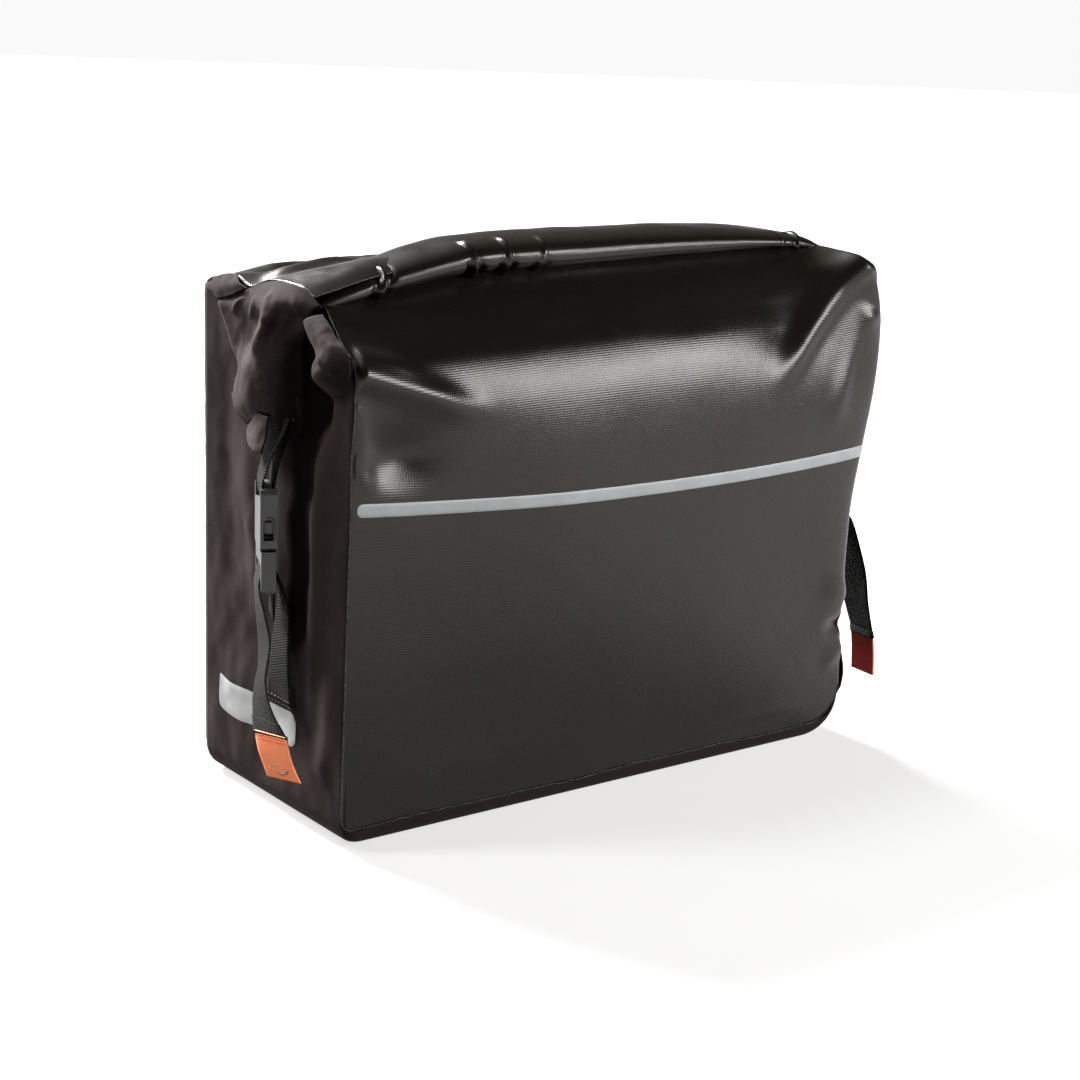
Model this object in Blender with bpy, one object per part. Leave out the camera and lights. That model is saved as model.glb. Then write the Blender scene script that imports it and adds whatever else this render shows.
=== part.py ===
"""Roll-top bicycle pannier: bag shell, rolled closure, two side-release buckles, rear rails and rack hooks.

Lengths are in millimetres and are scaled to metres when a mesh is made.
X runs along the width, the front panel faces -Y, the rack side faces +Y, Z is up.
The origin is the middle of the flat base.
"""

import math

import bmesh
import bpy
from mathutils import Vector

MM = 0.001
GAP = 0.3
SMOOTH_DEGREES = 35.0

# Bag shell
HALF_WIDTH = 210.0
FRONT_Y = -85.0
BACK_Y = 85.0
FABRIC = 1.5
CORNER_RADIUS = 28.0
CORNER_STEPS = 6
SIDE_BORDER = 2.2
BOTTOM_BORDER = 13.0
BORDER_STEPS = 4
FRONT_RIM_Z = 286.0
BACK_RIM_Z = 316.0
RIM_GAP = 0.4
BOARD_THICK = 2.5

# Front stripe and side patches
STRIPE_Z = (201.0, 209.0)
STRIPE_HALF = 204.0
TRIM_THICK = 0.5
PATCH_Y = (-32.0, 66.0)
PATCH_Z = (50.0, 71.5)

# Webbing
WEB = 25.0
WEB_THICK = 1.2
STRAP_Y = {-1: -21.0, 1: -35.0}
TAB_WIDTH = 24.0
TAB_THICK = 2.4

# Side-release buckle, measured from its middle plane; it hangs turned about the vertical
BUCKLE_X = 227.0
BUCKLE_HALF = 16.0
BUCKLE_DEPTH = 5.0
BUCKLE_YAW = 24.0
SOCKET_Z = (177.3, 215.0)
PLUG_Z = (151.0, 177.0)
PRONG_HINGE = (8.4, 180.0)

# Rear hardware
PANEL_OUT = BACK_Y + GAP + FABRIC
RAIL_Y = PANEL_OUT + GAP
RAIL_Z = 274.0
RAIL_HALF = 150.0
LOWER_RAIL_Z = 128.0
LOWER_RAIL_HALF = 100.0
HOOK_X = 95.0
HOOK_HALF = 17.0
TUBE_RADIUS = 8.5
TUBE_Y = 110.0
TUBE_Z = 296.0
LATCH_PIVOT = (98.0, 252.0)
UPPER_SCREW_X = (-140.0, -30.0, 30.0, 140.0)
LOWER_SCREW_X = (-90.0, 90.0)
HANDLE_HALF = 50.0
HANDLE_PIVOT = (103.0, 274.0)

for leftover in list(bpy.data.objects):
    bpy.data.objects.remove(leftover, do_unlink=True)


def material(name, colour, roughness, metallic=0.0):
    made = bpy.data.materials.new(name)
    made.use_nodes = True
    shader = made.node_tree.nodes["Principled BSDF"]
    shader.inputs["Base Color"].default_value = (*colour, 1.0)
    shader.inputs["Roughness"].default_value = roughness
    shader.inputs["Metallic"].default_value = metallic
    made.diffuse_color = (*colour, 1.0)
    made.roughness = roughness
    made.metallic = metallic
    return made


COATED = material("coated_tarpaulin", (0.02, 0.018, 0.017), 0.3)
GUSSET = material("gusset_fabric", (0.045, 0.036, 0.033), 0.75)
BOARD = material("stiffener_plastic", (0.03, 0.03, 0.032), 0.5)
BATTEN = material("batten_plastic", (0.6, 0.6, 0.58), 0.45)
REFLECTIVE = material("reflective_tape", (0.45, 0.45, 0.44), 0.4)
PATCH = material("patch_fabric", (0.05, 0.035, 0.03), 0.7)
WEBBING = material("black_webbing", (0.018, 0.017, 0.016), 0.8)
ORANGE = material("orange_tab", (0.85, 0.16, 0.05), 0.6)
BUCKLE = material("buckle_plastic", (0.055, 0.052, 0.052), 0.4)
PRONG = material("prong_plastic", (0.045, 0.043, 0.043), 0.4)
RAIL = material("rail_aluminium", (0.35, 0.35, 0.36), 0.35, 1.0)
NUT_BAR = material("nut_bar_aluminium", (0.6, 0.6, 0.61), 0.4, 1.0)
HOOK = material("hook_plastic", (0.025, 0.025, 0.027), 0.45)
LATCH = material("latch_plastic", (0.16, 0.165, 0.17), 0.45)
STEEL = material("stainless_steel", (0.6, 0.6, 0.6), 0.25, 1.0)
GRIP = material("grip_rubber", (0.02, 0.02, 0.02), 0.8)


def turned(point, side):
    """The point turned about the vertical middle line of one buckle; side 0 leaves it as it is."""
    x, y, z = point
    if not side:
        return Vector((x, y, z))
    a = math.radians(side * BUCKLE_YAW)
    u = x - side * BUCKLE_X
    v = y - STRAP_Y[side]
    out = side * BUCKLE_X + u * math.cos(a) - v * math.sin(a)
    return Vector((out, STRAP_Y[side] + u * math.sin(a) + v * math.cos(a), z))


def add(name, points, faces, surface, origin=(0.0, 0.0, 0.0), helper=False, turn=0):
    """A mesh object from points in millimetres, with its own origin, round faces shaded smooth."""
    mesh = bpy.data.meshes.new(name)
    start = turned(origin, turn)
    mesh.from_pydata([(turned(p, turn) - start) * MM for p in points], [], faces)
    shape = bmesh.new()
    shape.from_mesh(mesh)
    bmesh.ops.recalc_face_normals(shape, faces=shape.faces)
    shape.to_mesh(mesh)
    shape.free()
    mesh.shade_smooth()
    mesh.set_sharp_from_angle(angle=math.radians(SMOOTH_DEGREES))
    obj = bpy.data.objects.new(name, mesh)
    obj.location = start * MM
    bpy.context.scene.collection.objects.link(obj)
    if surface is not None:
        mesh.materials.append(surface)
    if helper:
        obj.hide_render = True
        obj.display_type = "WIRE"
    return obj


def loft(name, rings, surface, **options):
    """Closed body through rings of the same count, with flat caps."""
    count = len(rings[0])
    points = [p for ring in rings for p in ring]
    faces = [tuple(range(count)), tuple(range(len(points) - count, len(points)))]
    for level in range(len(rings) - 1):
        low = level * count
        for k in range(count):
            after = (k + 1) % count
            faces.append((low + k, low + after, low + count + after, low + count + k))
    return add(name, points, faces, surface, **options)


def placed(axis, along, u, v):
    """A point from its place along one axis and the two others in order."""
    if axis == "X":
        return (along, u, v)
    if axis == "Y":
        return (u, along, v)
    return (u, v, along)


def prism(name, outline, axis, low, high, surface, **options):
    rings = [[placed(axis, along, u, v) for u, v in outline] for along in (low, high)]
    return loft(name, rings, surface, **options)


def box(name, x, y, z, surface, **options):
    outline = [(y[0], z[0]), (y[1], z[0]), (y[1], z[1]), (y[0], z[1])]
    return prism(name, outline, "X", x[0], x[1], surface, **options)


def circle(u, v, radius, steps=20):
    turns = [2 * math.pi * k / steps for k in range(steps)]
    return [(u + radius * math.cos(a), v + radius * math.sin(a)) for a in turns]


def rounded(u, v, radius, steps=4):
    """Rectangle outline with rounded corners."""
    corners = (
        (u[1] - radius, v[0] + radius, -90),
        (u[1] - radius, v[1] - radius, 0),
        (u[0] + radius, v[1] - radius, 90),
        (u[0] + radius, v[0] + radius, 180),
    )
    points = []
    for cu, cv, start in corners:
        for k in range(steps + 1):
            a = math.radians(start + 90 * k / steps)
            points.append((cu + radius * math.cos(a), cv + radius * math.sin(a)))
    return points


def cut(obj, cutter):
    change = obj.modifiers.new("cut " + cutter.name, "BOOLEAN")
    change.operation = "DIFFERENCE"
    change.solver = "EXACT"
    change.object = cutter


def drill(obj, name, axis, centre, radius, low, high, steps=20):
    """A round hole along an axis."""
    tool = prism(name, circle(*centre, radius, steps), axis, low, high, None, helper=True)
    cut(obj, tool)


def smoothstep(t):
    t = min(1.0, max(0.0, t))
    return t * t * (3 - 2 * t)


def ribbon(name, path, surface, width=WEB, thick=WEB_THICK, **options):
    """Flat strap through stations of (point, width direction)."""
    rings = []
    last = len(path) - 1
    for k, (point, across) in enumerate(path):
        along = Vector(path[min(k + 1, last)][0]) - Vector(path[max(k - 1, 0)][0])
        side = Vector(across).normalized()
        up = along.cross(side).normalized()
        middle = Vector(point)
        corners = ((-1, -1), (1, -1), (1, 1), (-1, 1))
        rings.append(
            [middle + side * (a * width / 2) + up * (b * thick / 2) for a, b in corners]
        )
    return loft(name, rings, surface, **options)


# ---------------------------------------------------------------- bag shell
def rim_z(y):
    return FRONT_RIM_Z + (BACK_RIM_Z - FRONT_RIM_Z) * (y - FRONT_Y) / (BACK_Y - FRONT_Y)


def shell_path():
    """Stations down one side, round the base and up the other: point, inward normal, border."""
    stations = []
    upright = [(FRONT_RIM_Z, True), (CORNER_RADIUS * 2.5, False)]
    for z, at_rim in upright:
        stations.append((-HALF_WIDTH, z, 1.0, 0.0, SIDE_BORDER, at_rim))
    for k in range(CORNER_STEPS + 1):
        turn = k / CORNER_STEPS
        a = math.radians(90 * turn)
        border = SIDE_BORDER + (BOTTOM_BORDER - SIDE_BORDER) * smoothstep(turn)
        stations.append(
            (
                -HALF_WIDTH + CORNER_RADIUS * (1 - math.cos(a)),
                CORNER_RADIUS * (1 - math.sin(a)),
                math.cos(a),
                math.sin(a),
                border,
                False,
            )
        )
    mirrored = [(-x, z, -nx, nz, b, rim) for x, z, nx, nz, b, rim in reversed(stations)]
    return stations + mirrored


def gusset():
    rings = []
    for x, z, nx, nz, border, at_rim in shell_path():
        section = [(0.0, BACK_Y)]
        for k in range(BORDER_STEPS + 1):
            a = math.radians(90 * k / BORDER_STEPS)
            section.append((border * (1 - math.cos(a)), FRONT_Y + border * (1 - math.sin(a))))
        reach = border - FABRIC
        for k in range(BORDER_STEPS, -1, -1):
            a = math.radians(90 * k / BORDER_STEPS)
            inward = FABRIC + reach * (1 - math.cos(a))
            section.append((inward, FRONT_Y + FABRIC + reach * (1 - math.sin(a))))
        section.append((FABRIC, BACK_Y))
        ring = []
        for inward, y in section:
            height = rim_z(y) if at_rim else z + inward * nz
            ring.append((x + inward * nx, y, height))
        rings.append(ring)
    return loft("gusset", rings, GUSSET)


def front_outline(extra):
    """Edge of the front panel, set inside the border of the gusset."""
    points = []
    for x, z, nx, nz, border, at_rim in shell_path():
        inward = border + extra
        height = FRONT_RIM_Z if at_rim else z + inward * nz
        points.append((x + inward * nx, height))
    return points


def bag_shell():
    gusset()
    prism("front_panel", front_outline(GAP), "Y", FRONT_Y, FRONT_Y + FABRIC, COATED)
    outline = [(x, BACK_RIM_Z if rim else z) for x, z, _, _, _, rim in shell_path()]
    back = prism("back_panel", outline, "Y", BACK_Y + GAP, PANEL_OUT, COATED)
    board = prism(
        "stiffener_board",
        rounded((-200.0, 200.0), (8.0, 300.0), 24.0),
        "Y",
        BACK_Y - BOARD_THICK,
        BACK_Y,
        BOARD,
    )
    stripe = rounded((-STRIPE_HALF, STRIPE_HALF), STRIPE_Z, 3.9)
    stripe_back = FRONT_Y - GAP
    prism("reflective_stripe", stripe, "Y", stripe_back - TRIM_THICK, stripe_back, REFLECTIVE)
    for place in [(x, RAIL_Z) for x in UPPER_SCREW_X] + [(x, LOWER_RAIL_Z) for x in LOWER_SCREW_X]:
        for target in (back, board):
            tag = "hole_%s_%d_%d" % (target.name, place[0], place[1])
            drill(target, tag, "Y", place, 2.9, BACK_Y - 5, PANEL_OUT + 5, 12)


def side_trim(side, word):
    """Reflective patch, sewn patch and sewn strap low on one side."""
    face = side * (HALF_WIDTH + GAP)
    outline = rounded(PATCH_Y, PATCH_Z, 5.0, 3)
    prism(word + "_reflector", outline, "X", face, face + side * TRIM_THICK, REFLECTIVE)
    middle = STRAP_Y[side]
    patch = rounded((middle - 11.0, middle + 23.0), (72.0, 87.0), 3.0, 3)
    prism(word + "_anchor_patch", patch, "X", face, face + side * 1.0, PATCH)
    x = side * (HALF_WIDTH + GAP + 1.0 + GAP + WEB_THICK / 2)
    across = (0.0, 1.0, 0.0)
    heights = ((6.0, 78.0), (3.0, 105.0), (-2.0, 146.0))
    path = [((x, middle + shift, z), across) for shift, z in heights]
    ribbon(word + "_anchor_strap", path, WEBBING)


# ---------------------------------------------------------------- rolled closure
CAP_OUTER = (
    (-85.0, 286.4),
    (-84.5, 294.0),
    (-81.0, 303.0),
    (-73.0, 312.0),
    (-60.0, 322.0),
    (-47.0, 331.0),
    (-44.5, 337.0),
    (-44.0, 346.0),
    (-41.0, 352.0),
    (-34.0, 356.5),
    (-20.0, 358.0),
    (-2.0, 357.5),
    (8.0, 354.0),
    (12.0, 348.5),
    (30.0, 345.0),
    (55.0, 339.5),
    (75.0, 332.0),
    (83.0, 325.5),
    (86.8, 318.0),
    (86.8, 316.8),
)
CAP_INNER = (
    (-82.6, 270.0),
    (-82.2, 293.5),
    (-79.0, 301.6),
    (-71.4, 310.0),
    (-58.4, 320.0),
    (-45.4, 328.6),
    (-30.0, 333.5),
    (0.0, 339.5),
    (20.0, 343.5),
    (29.4, 342.6),
    (54.2, 337.2),
    (73.6, 330.0),
    (81.0, 324.2),
    (84.4, 317.2),
    (84.4, 270.0),
)
EAR_OUTLINE = (
    (75.0, 322.0),
    (70.0, 300.0),
    (47.0, 258.0),
    (40.0, 243.0),
    (28.0, 238.0),
    (-6.0, 236.0),
    (-18.0, 240.0),
    (-14.0, 262.0),
    (-22.0, 285.0),
    (-38.0, 303.0),
    (-82.0, 297.0),
    (-84.0, 302.0),
    (-70.0, 314.0),
    (-50.0, 328.0),
    (-20.0, 338.0),
    (20.0, 338.0),
    (50.0, 332.0),
)
BATTEN_Y = (-34.0, 4.0)
BATTEN_Z = (345.0, 347.0)
EAR_DEPTH = 7.0


def closure():
    top = prism("roll_top", CAP_OUTER, "X", -HALF_WIDTH, HALF_WIDTH, COATED)
    inside = HALF_WIDTH - 2.4
    cut(top, prism("cap_hollow", CAP_INNER, "X", -inside, inside, None, helper=True))
    slot_y = (BATTEN_Y[0] - GAP, BATTEN_Y[1] + GAP)
    slot_z = (BATTEN_Z[0] - GAP, BATTEN_Z[1] + GAP)
    reach = HALF_WIDTH + 5
    cut(top, box("batten_slot", (-reach, reach), slot_y, slot_z, None, helper=True))
    box("roll_batten", (-200.0, 200.0), BATTEN_Y, BATTEN_Z, BATTEN)


def ear(side, word):
    """Folded end of the roll, drawn down the side to its webbing."""
    near = side * (HALF_WIDTH + RIM_GAP)
    shift = STRAP_Y[side] - STRAP_Y[-1]
    outline = [(y + (shift if z < 290.0 else 0.0), z) for y, z in EAR_OUTLINE]
    prism(word + "_ear", outline, "X", near, near + side * EAR_DEPTH, GUSSET)


# ---------------------------------------------------------------- side-release buckle
def hollow(obj, side, name, out, y, z):
    """Cuts a box from a turned buckle piece; out is measured from the buckle's middle plane."""
    x = (side * BUCKLE_X + out[0], side * BUCKLE_X + out[1])
    cut(obj, box(name, x, y, z, None, helper=True, turn=side))


def socket(side, word):
    middle = STRAP_Y[side]
    x = (side * BUCKLE_X - BUCKLE_DEPTH, side * BUCKLE_X + BUCKLE_DEPTH)
    y = (middle - BUCKLE_HALF, middle + BUCKLE_HALF)
    name = word + "_socket"
    body = prism(name, rounded(y, SOCKET_Z, 3.5), "X", x[0], x[1], BUCKLE, turn=side)
    hollow(body, side, name + "_hollow", (-3.4, 3.4), (middle - 14.5, middle + 14.5), (170.0, 203.0))
    # Side windows over the prong pads
    wide = (middle - 20.0, middle + 20.0)
    hollow(body, side, name + "_window", (-2.9, 2.9), wide, (184.0, 196.5))
    slot = (middle - 13.0, middle + 13.0)
    hollow(body, side, name + "_slot", (-9.0, 9.0), slot, (205.8, 210.2))
    # The bar is thinner than the frame, so the webbing sits flush round it
    relief = (middle - 13.2, middle + 13.2)
    hollow(body, side, name + "_relief_in", (-9.2, -2.2), relief, (207.0, 220.0))
    hollow(body, side, name + "_relief_out", (2.2, 9.2), relief, (207.0, 220.0))


def foot_angles():
    """Round foot of a prong, open towards its arm."""
    return [math.radians(140 + 260 * k / 9) for k in range(10)]


def plug(side, word):
    middle = STRAP_Y[side]
    centre = side * BUCKLE_X
    name = word + "_plug"
    # Frame and centre guide in one outline
    outline = [
        (-BUCKLE_HALF + 2.0, PLUG_Z[0]),
        (BUCKLE_HALF - 2.0, PLUG_Z[0]),
        (BUCKLE_HALF, PLUG_Z[0] + 2.0),
        (BUCKLE_HALF, PLUG_Z[1]),
        (2.4, PLUG_Z[1]),
        (2.4, 198.0),
        (0.9, 200.5),
        (-0.9, 200.5),
        (-2.4, 198.0),
        (-2.4, PLUG_Z[1]),
        (-BUCKLE_HALF, PLUG_Z[1]),
        (-BUCKLE_HALF, PLUG_Z[0] + 2.0),
    ]
    outline = [(middle + u, v) for u, v in outline]
    start = (centre, middle, PLUG_Z[1])
    x = (centre - 4.4, centre + 4.4)
    body = prism(name, outline, "X", *x, BUCKLE, origin=start, turn=side)
    slot = (middle - 13.0, middle + 13.0)
    guide = (middle - 5.0, middle + 5.0)
    hollow(body, side, name + "_slot_low", (-9.0, 9.0), slot, (155.0, 159.2))
    hollow(body, side, name + "_slot_high", (-9.0, 9.0), slot, (163.8, 168.4))
    relief = (middle - 13.2, middle + 13.2)
    for tag, out in (("in", (-9.2, -2.0)), ("out", (2.0, 9.2))):
        hollow(body, side, "%s_relief_%s" % (name, tag), out, relief, (145.0, 167.0))
        # The guide is thinner than the frame, so that it enters the socket
        hollow(body, side, "%s_thin_guide_%s" % (name, tag), out, guide, (PLUG_Z[1], 205.0))
    for tag, hand in (("front", -1), ("rear", 1)):
        u, v = PRONG_HINGE
        foot = [(u + 2.4 * math.cos(a), v + 2.4 * math.sin(a)) for a in foot_angles()]
        arm = [(u + 1.6, 185.0), (14.1, 188.0), (14.1, 194.5), (11.0, 201.0), (8.4, 201.5)]
        arm += [(7.4, 198.0), (7.2, 186.0)]
        shape = [(middle + hand * a, b) for a, b in foot + arm]
        pivot = (centre, middle + hand * u, v)
        piece = "%s_prong_%s" % (word, tag)
        x = (centre - 2.7, centre + 2.7)
        prism(piece, shape, "X", *x, PRONG, origin=pivot, turn=side)


def buckle_station(side, out, z):
    """Ribbon station in the turned frame of a buckle, out from its middle plane."""
    middle = STRAP_Y[side]
    point = turned((side * (BUCKLE_X + out), middle, z), side)
    ahead = turned((side * (BUCKLE_X + out), middle + 1.0, z), side)
    return point, ahead - point


def upper_strap(side, word):
    """Webbing from the ear, round the socket bar and back."""
    loop = [(-3.7, 249.0), (-3.7, 214.0), (-3.2, 209.6), (-1.8, 208.0)]
    loop += [(1.8, 208.0), (3.2, 209.6), (3.7, 214.0), (3.7, 249.0)]
    path = [buckle_station(side, out, z) for out, z in loop]
    ribbon(word + "_upper_strap", path, WEBBING)


# Hanging end of the webbing: x outwards, y, z and the turn of its width about the vertical
TAIL = {
    -1: (
        (233.6, -22.6, 150.0, 22.0),
        (234.0, -28.0, 139.0, 16.0),
        (233.8, -31.5, 124.0, 16.0),
        (234.3, -31.0, 104.0, 18.0),
        (236.0, -33.0, 88.0, 4.0),
        (238.0, -40.0, 77.0, -8.0),
        (240.0, -49.5, 69.5, -20.0),
    ),
    1: (
        (237.5, -36.5, 151.0, 14.0),
        (243.5, -39.5, 144.0, 0.0),
        (247.0, -44.0, 128.0, 0.0),
        (249.0, -50.0, 104.0, 0.0),
        (250.5, -56.0, 82.0, 0.0),
        (251.5, -61.0, 62.0, 0.0),
    ),
}
TAB = {
    -1: ((240.3, -50.8, 68.4, -20.0), (240.6, -56.5, 58.5, -20.0), (239.6, -63.0, 47.0, -20.0)),
    1: ((251.6, -61.3, 61.0, 0.0), (252.0, -63.5, 48.0, 0.0), (251.5, -65.0, 34.0, 0.0)),
}


def hanging(side, points):
    found = []
    for x, y, z, degrees in points:
        a = math.radians(degrees)
        found.append(((side * x, y, z), (-side * math.sin(a), math.cos(a), 0.0)))
    return found


def tail(side, word):
    """Webbing through the ladder bars, its hanging end and the pull tab on it."""
    start = (side * BUCKLE_X, STRAP_Y[side], PLUG_Z[1])
    bars = ((-3.7, 132.0), (-3.7, 160.0), (-2.9, 164.8), (-1.2, 166.2))
    bars += ((1.4, 166.2), (3.1, 164.6), (4.2, 160.0), (5.4, 155.0))
    path = [buckle_station(side, out, z) for out, z in bars] + hanging(side, TAIL[side])
    ribbon(word + "_tail_strap", path, WEBBING, origin=start)
    tab = hanging(side, TAB[side])
    ribbon(word + "_tab", tab, ORANGE, width=TAB_WIDTH, thick=TAB_THICK, origin=start)


# ---------------------------------------------------------------- rear rails
def rail_section(middle, half):
    """Plate, neck and flange of a rail the hooks slide on."""
    y = RAIL_Y
    right = [(y, half), (y + 2.5, half), (y + 2.5, half - 6.5), (y + 5.9, half - 6.5)]
    right += [(y + 5.9, half - 2.2), (y + 8.4, half - 2.2)]
    points = [(a, middle + b) for a, b in right]
    points += [(a, middle - b) for a, b in reversed(right)]
    return points


def rails():
    for name, middle, half, reach, places in (
        ("upper_rail", RAIL_Z, 12.0, RAIL_HALF, UPPER_SCREW_X),
        ("lower_rail", LOWER_RAIL_Z, 12.0, LOWER_RAIL_HALF, LOWER_SCREW_X),
    ):
        rail = prism(name, rail_section(middle, half), "X", -reach, reach, RAIL)
        bar_z = (middle - 7.0, middle + 7.0)
        bar_y = (BACK_Y - BOARD_THICK - GAP - 3.0, BACK_Y - BOARD_THICK - GAP)
        bar_name = name.replace("rail", "nut_bar")
        bar = prism(bar_name, rounded((-reach, reach), bar_z, 3.0, 3), "Y", *bar_y, NUT_BAR)
        for number, x in enumerate(places, 1):
            place = (x, middle)
            hole = "%s_hole_%d" % (name, number)
            drill(rail, hole, "Y", place, 2.9, RAIL_Y - 5, RAIL_Y + 12, 16)
            well = "%s_well_%d" % (name, number)
            drill(rail, well, "Y", place, 5.0, RAIL_Y + 5.0, RAIL_Y + 12, 20)
            drill(bar, "%s_%d" % (bar_name, number), "Y", place, 2.9, bar_y[0] - 5, BACK_Y, 16)
            screw(name.replace("rail", "screw") + "_%d" % number, place)


def screw(name, place):
    """Socket-head screw through rail, panel and board into the nut bar, turned about Y."""
    x, z = place
    end = BACK_Y - BOARD_THICK - GAP - 3.0
    head = RAIL_Y + 5.0 + GAP
    steps = ((end, 2.0), (end + 0.6, 2.5), (head, 2.5), (head, 4.5), (head + 2.2, 4.5))
    steps += ((head + 2.7, 4.0), (head + 2.7, 1.7), (head + 0.9, 1.7))
    rings = []
    for y, radius in steps:
        rings.append([(a, y, b) for a, b in circle(x, z, radius, 12)])
    return loft(name, rings, STEEL)


# ---------------------------------------------------------------- rack hooks
def arch(radius, start, end, steps):
    found = []
    for k in range(steps + 1):
        a = math.radians(start + (end - start) * k / steps)
        found.append((TUBE_Y + radius * math.cos(a), TUBE_Z + radius * math.sin(a)))
    return found


def hook(side, word):
    middle = side * HOOK_X
    low = RAIL_Z - 9.8
    high = RAIL_Z + 9.8
    lip = 5.3
    back = RAIL_Y + 2.8
    shelf = RAIL_Y + 5.6
    face = RAIL_Y + 8.7
    inner = TUBE_Y - TUBE_RADIUS
    outline = [
        (back, RAIL_Z - 15.0),
        (back, RAIL_Z - lip - 0.9),
        (shelf, RAIL_Z - lip - 0.9),
        (shelf, low - 0.3),
        (face, low - 0.3),
        (face, high + 0.3),
        (shelf, high + 0.3),
        (shelf, RAIL_Z + lip + 0.9),
        (back, RAIL_Z + lip + 0.9),
        (back, 300.0),
        (94.5, 306.5),
    ]
    outline += arch(TUBE_RADIUS + 5.0, 118, 0, 8)
    outline += [(TUBE_Y + TUBE_RADIUS + 5.0, 268.0), (TUBE_Y + TUBE_RADIUS + 3.5, 265.0)]
    outline += [(TUBE_Y + TUBE_RADIUS, 267.0)]
    outline += arch(TUBE_RADIUS, 0, 180, 10)
    outline += [(inner, 262.0), (103.0, 259.5), (103.0, 247.0), (101.0, 245.0)]
    outline += [(95.0, 245.0), (93.0, 247.0), (93.0, RAIL_Z - 15.0)]
    # The plastic lips clear the neck of the rail
    span = (middle - HOOK_HALF, middle + HOOK_HALF)
    origin = (middle, RAIL_Y + 7.0, RAIL_Z)
    body = prism(word + "_hook", outline, "X", *span, HOOK, origin=origin)
    gap = (middle - 7.3, middle + 7.3)
    tool = word + "_hook_fork"
    cut(body, box(tool, gap, (90.0, 105.0), (240.0, 258.8), None, helper=True))
    bore = word + "_hook_bore"
    drill(body, bore, "X", LATCH_PIVOT, 1.9, middle - 15.5, middle + 20.0, 14)
    pin = prism(
        word + "_latch_pin",
        circle(*LATCH_PIVOT, 1.6, 14),
        "X",
        middle - 15.2,
        middle + HOOK_HALF - 0.2,
        STEEL,
    )
    latch(middle, word)
    spring(middle, word)
    return body, pin


def latch(middle, word):
    """Sprung gate that closes the hook mouth under the rack tube."""
    y, z = LATCH_PIVOT
    origin = (middle, y, z)
    span = (middle - 7.0, middle + 3.0)
    gate = prism(word + "_latch", latch_outline(), "X", *span, LATCH, origin=origin)
    bore = word + "_latch_bore"
    drill(gate, bore, "X", LATCH_PIVOT, 1.9, middle - 20.0, middle + 20.0, 14)


def latch_outline():
    y, z = LATCH_PIVOT
    points = []
    for k in range(11):
        a = math.radians(75 + 200 * k / 10)
        points.append((y + 4.6 * math.cos(a), z + 4.6 * math.sin(a)))
    # Thumb lever below the barrel, then the gate arm back to the barrel
    points += [(98.8, 243.0), (101.2, 243.4), (102.2, 248.6), (110.0, 254.2), (119.6, 258.6)]
    points += [(120.4, 261.0), (118.6, 262.4), (108.0, 259.4)]
    return points


def spring(middle, word):
    """Torsion spring on the latch pin."""
    y, z = LATCH_PIVOT
    turns = 3.0
    steps = 36
    wire = 0.35
    coil = 2.9
    start = middle + 3.8
    pitch = 0.95
    rings = []
    for k in range(steps + 1):
        a = 2 * math.pi * turns * k / steps
        centre = Vector((start + pitch * turns * k / steps, y, z))
        out = Vector((0.0, math.cos(a), math.sin(a)))
        ring = []
        for j in range(5):
            b = 2 * math.pi * j / 5
            offset = out * (coil + wire * math.cos(b)) + Vector((wire * math.sin(b), 0.0, 0.0))
            ring.append(centre + offset)
        rings.append(ring)
    return loft(word + "_latch_spring", rings, STEEL)


def lower_hook():
    """Carriage on the lower rail and the fin that turns on it."""
    back = RAIL_Y + 2.8
    shelf = RAIL_Y + 5.6
    face = RAIL_Y + 8.7
    front = face + 4.5
    z = LOWER_RAIL_Z
    outline = [
        (back, z - 15.0),
        (back, z - 6.2),
        (shelf, z - 6.2),
        (shelf, z - 10.1),
        (face, z - 10.1),
        (face, z + 10.1),
        (shelf, z + 10.1),
        (shelf, z + 6.2),
        (back, z + 6.2),
        (back, z + 15.0),
        (front, z + 15.0),
        (front, z - 15.0),
    ]
    origin = (0.0, RAIL_Y + 7.0, z)
    carriage = prism("lower_carriage", outline, "X", -13.0, 13.0, HOOK, origin=origin)
    drill(carriage, "carriage_bore", "Y", (0.0, z), 3.3, face - 5, front + 5, 16)
    base = front + GAP
    fin_origin = (0.0, base, z)
    rings = []
    for y, radius in ((base, 11.0), (base + 3.0, 11.0), (base + 3.0, 5.5), (base + 14.0, 5.5)):
        rings.append([(a, y, b) for a, b in circle(0.0, z, radius, 24)])
    fin = loft("lower_fin", rings, HOOK, origin=fin_origin)
    blade = [(-7.0, z - 7.0), (7.0, z - 7.0), (7.0, z + 20.0), (3.0, z + 27.0), (-3.0, z + 27.0)]
    blade += [(-7.0, z + 20.0)]
    tool = prism("fin_blade", blade, "Y", base + 13.0, base + 18.0, None, helper=True)
    join = fin.modifiers.new("blade", "BOOLEAN")
    join.operation = "UNION"
    join.solver = "EXACT"
    join.object = tool
    drill(fin, "fin_bore", "Y", (0.0, z), 2.9, base - 5, base + 25, 16)
    drill(fin, "fin_well", "Y", (0.0, z), 4.6, base + 13.4, base + 25, 20)
    # Shoulder screw that the fin turns on; its nut end sits behind the carriage face
    steps = ((face + 0.2, 3.0), (face + 4.3, 3.0), (face + 4.3, 2.6), (base + 13.7, 2.6))
    steps += ((base + 13.7, 4.2), (base + 16.4, 4.2), (base + 16.4, 1.6), (base + 14.6, 1.6))
    rings = [[(a, y, b) for a, b in circle(0.0, z, radius, 12)] for y, radius in steps]
    loft("fin_screw", rings, STEEL, origin=fin_origin)


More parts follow.
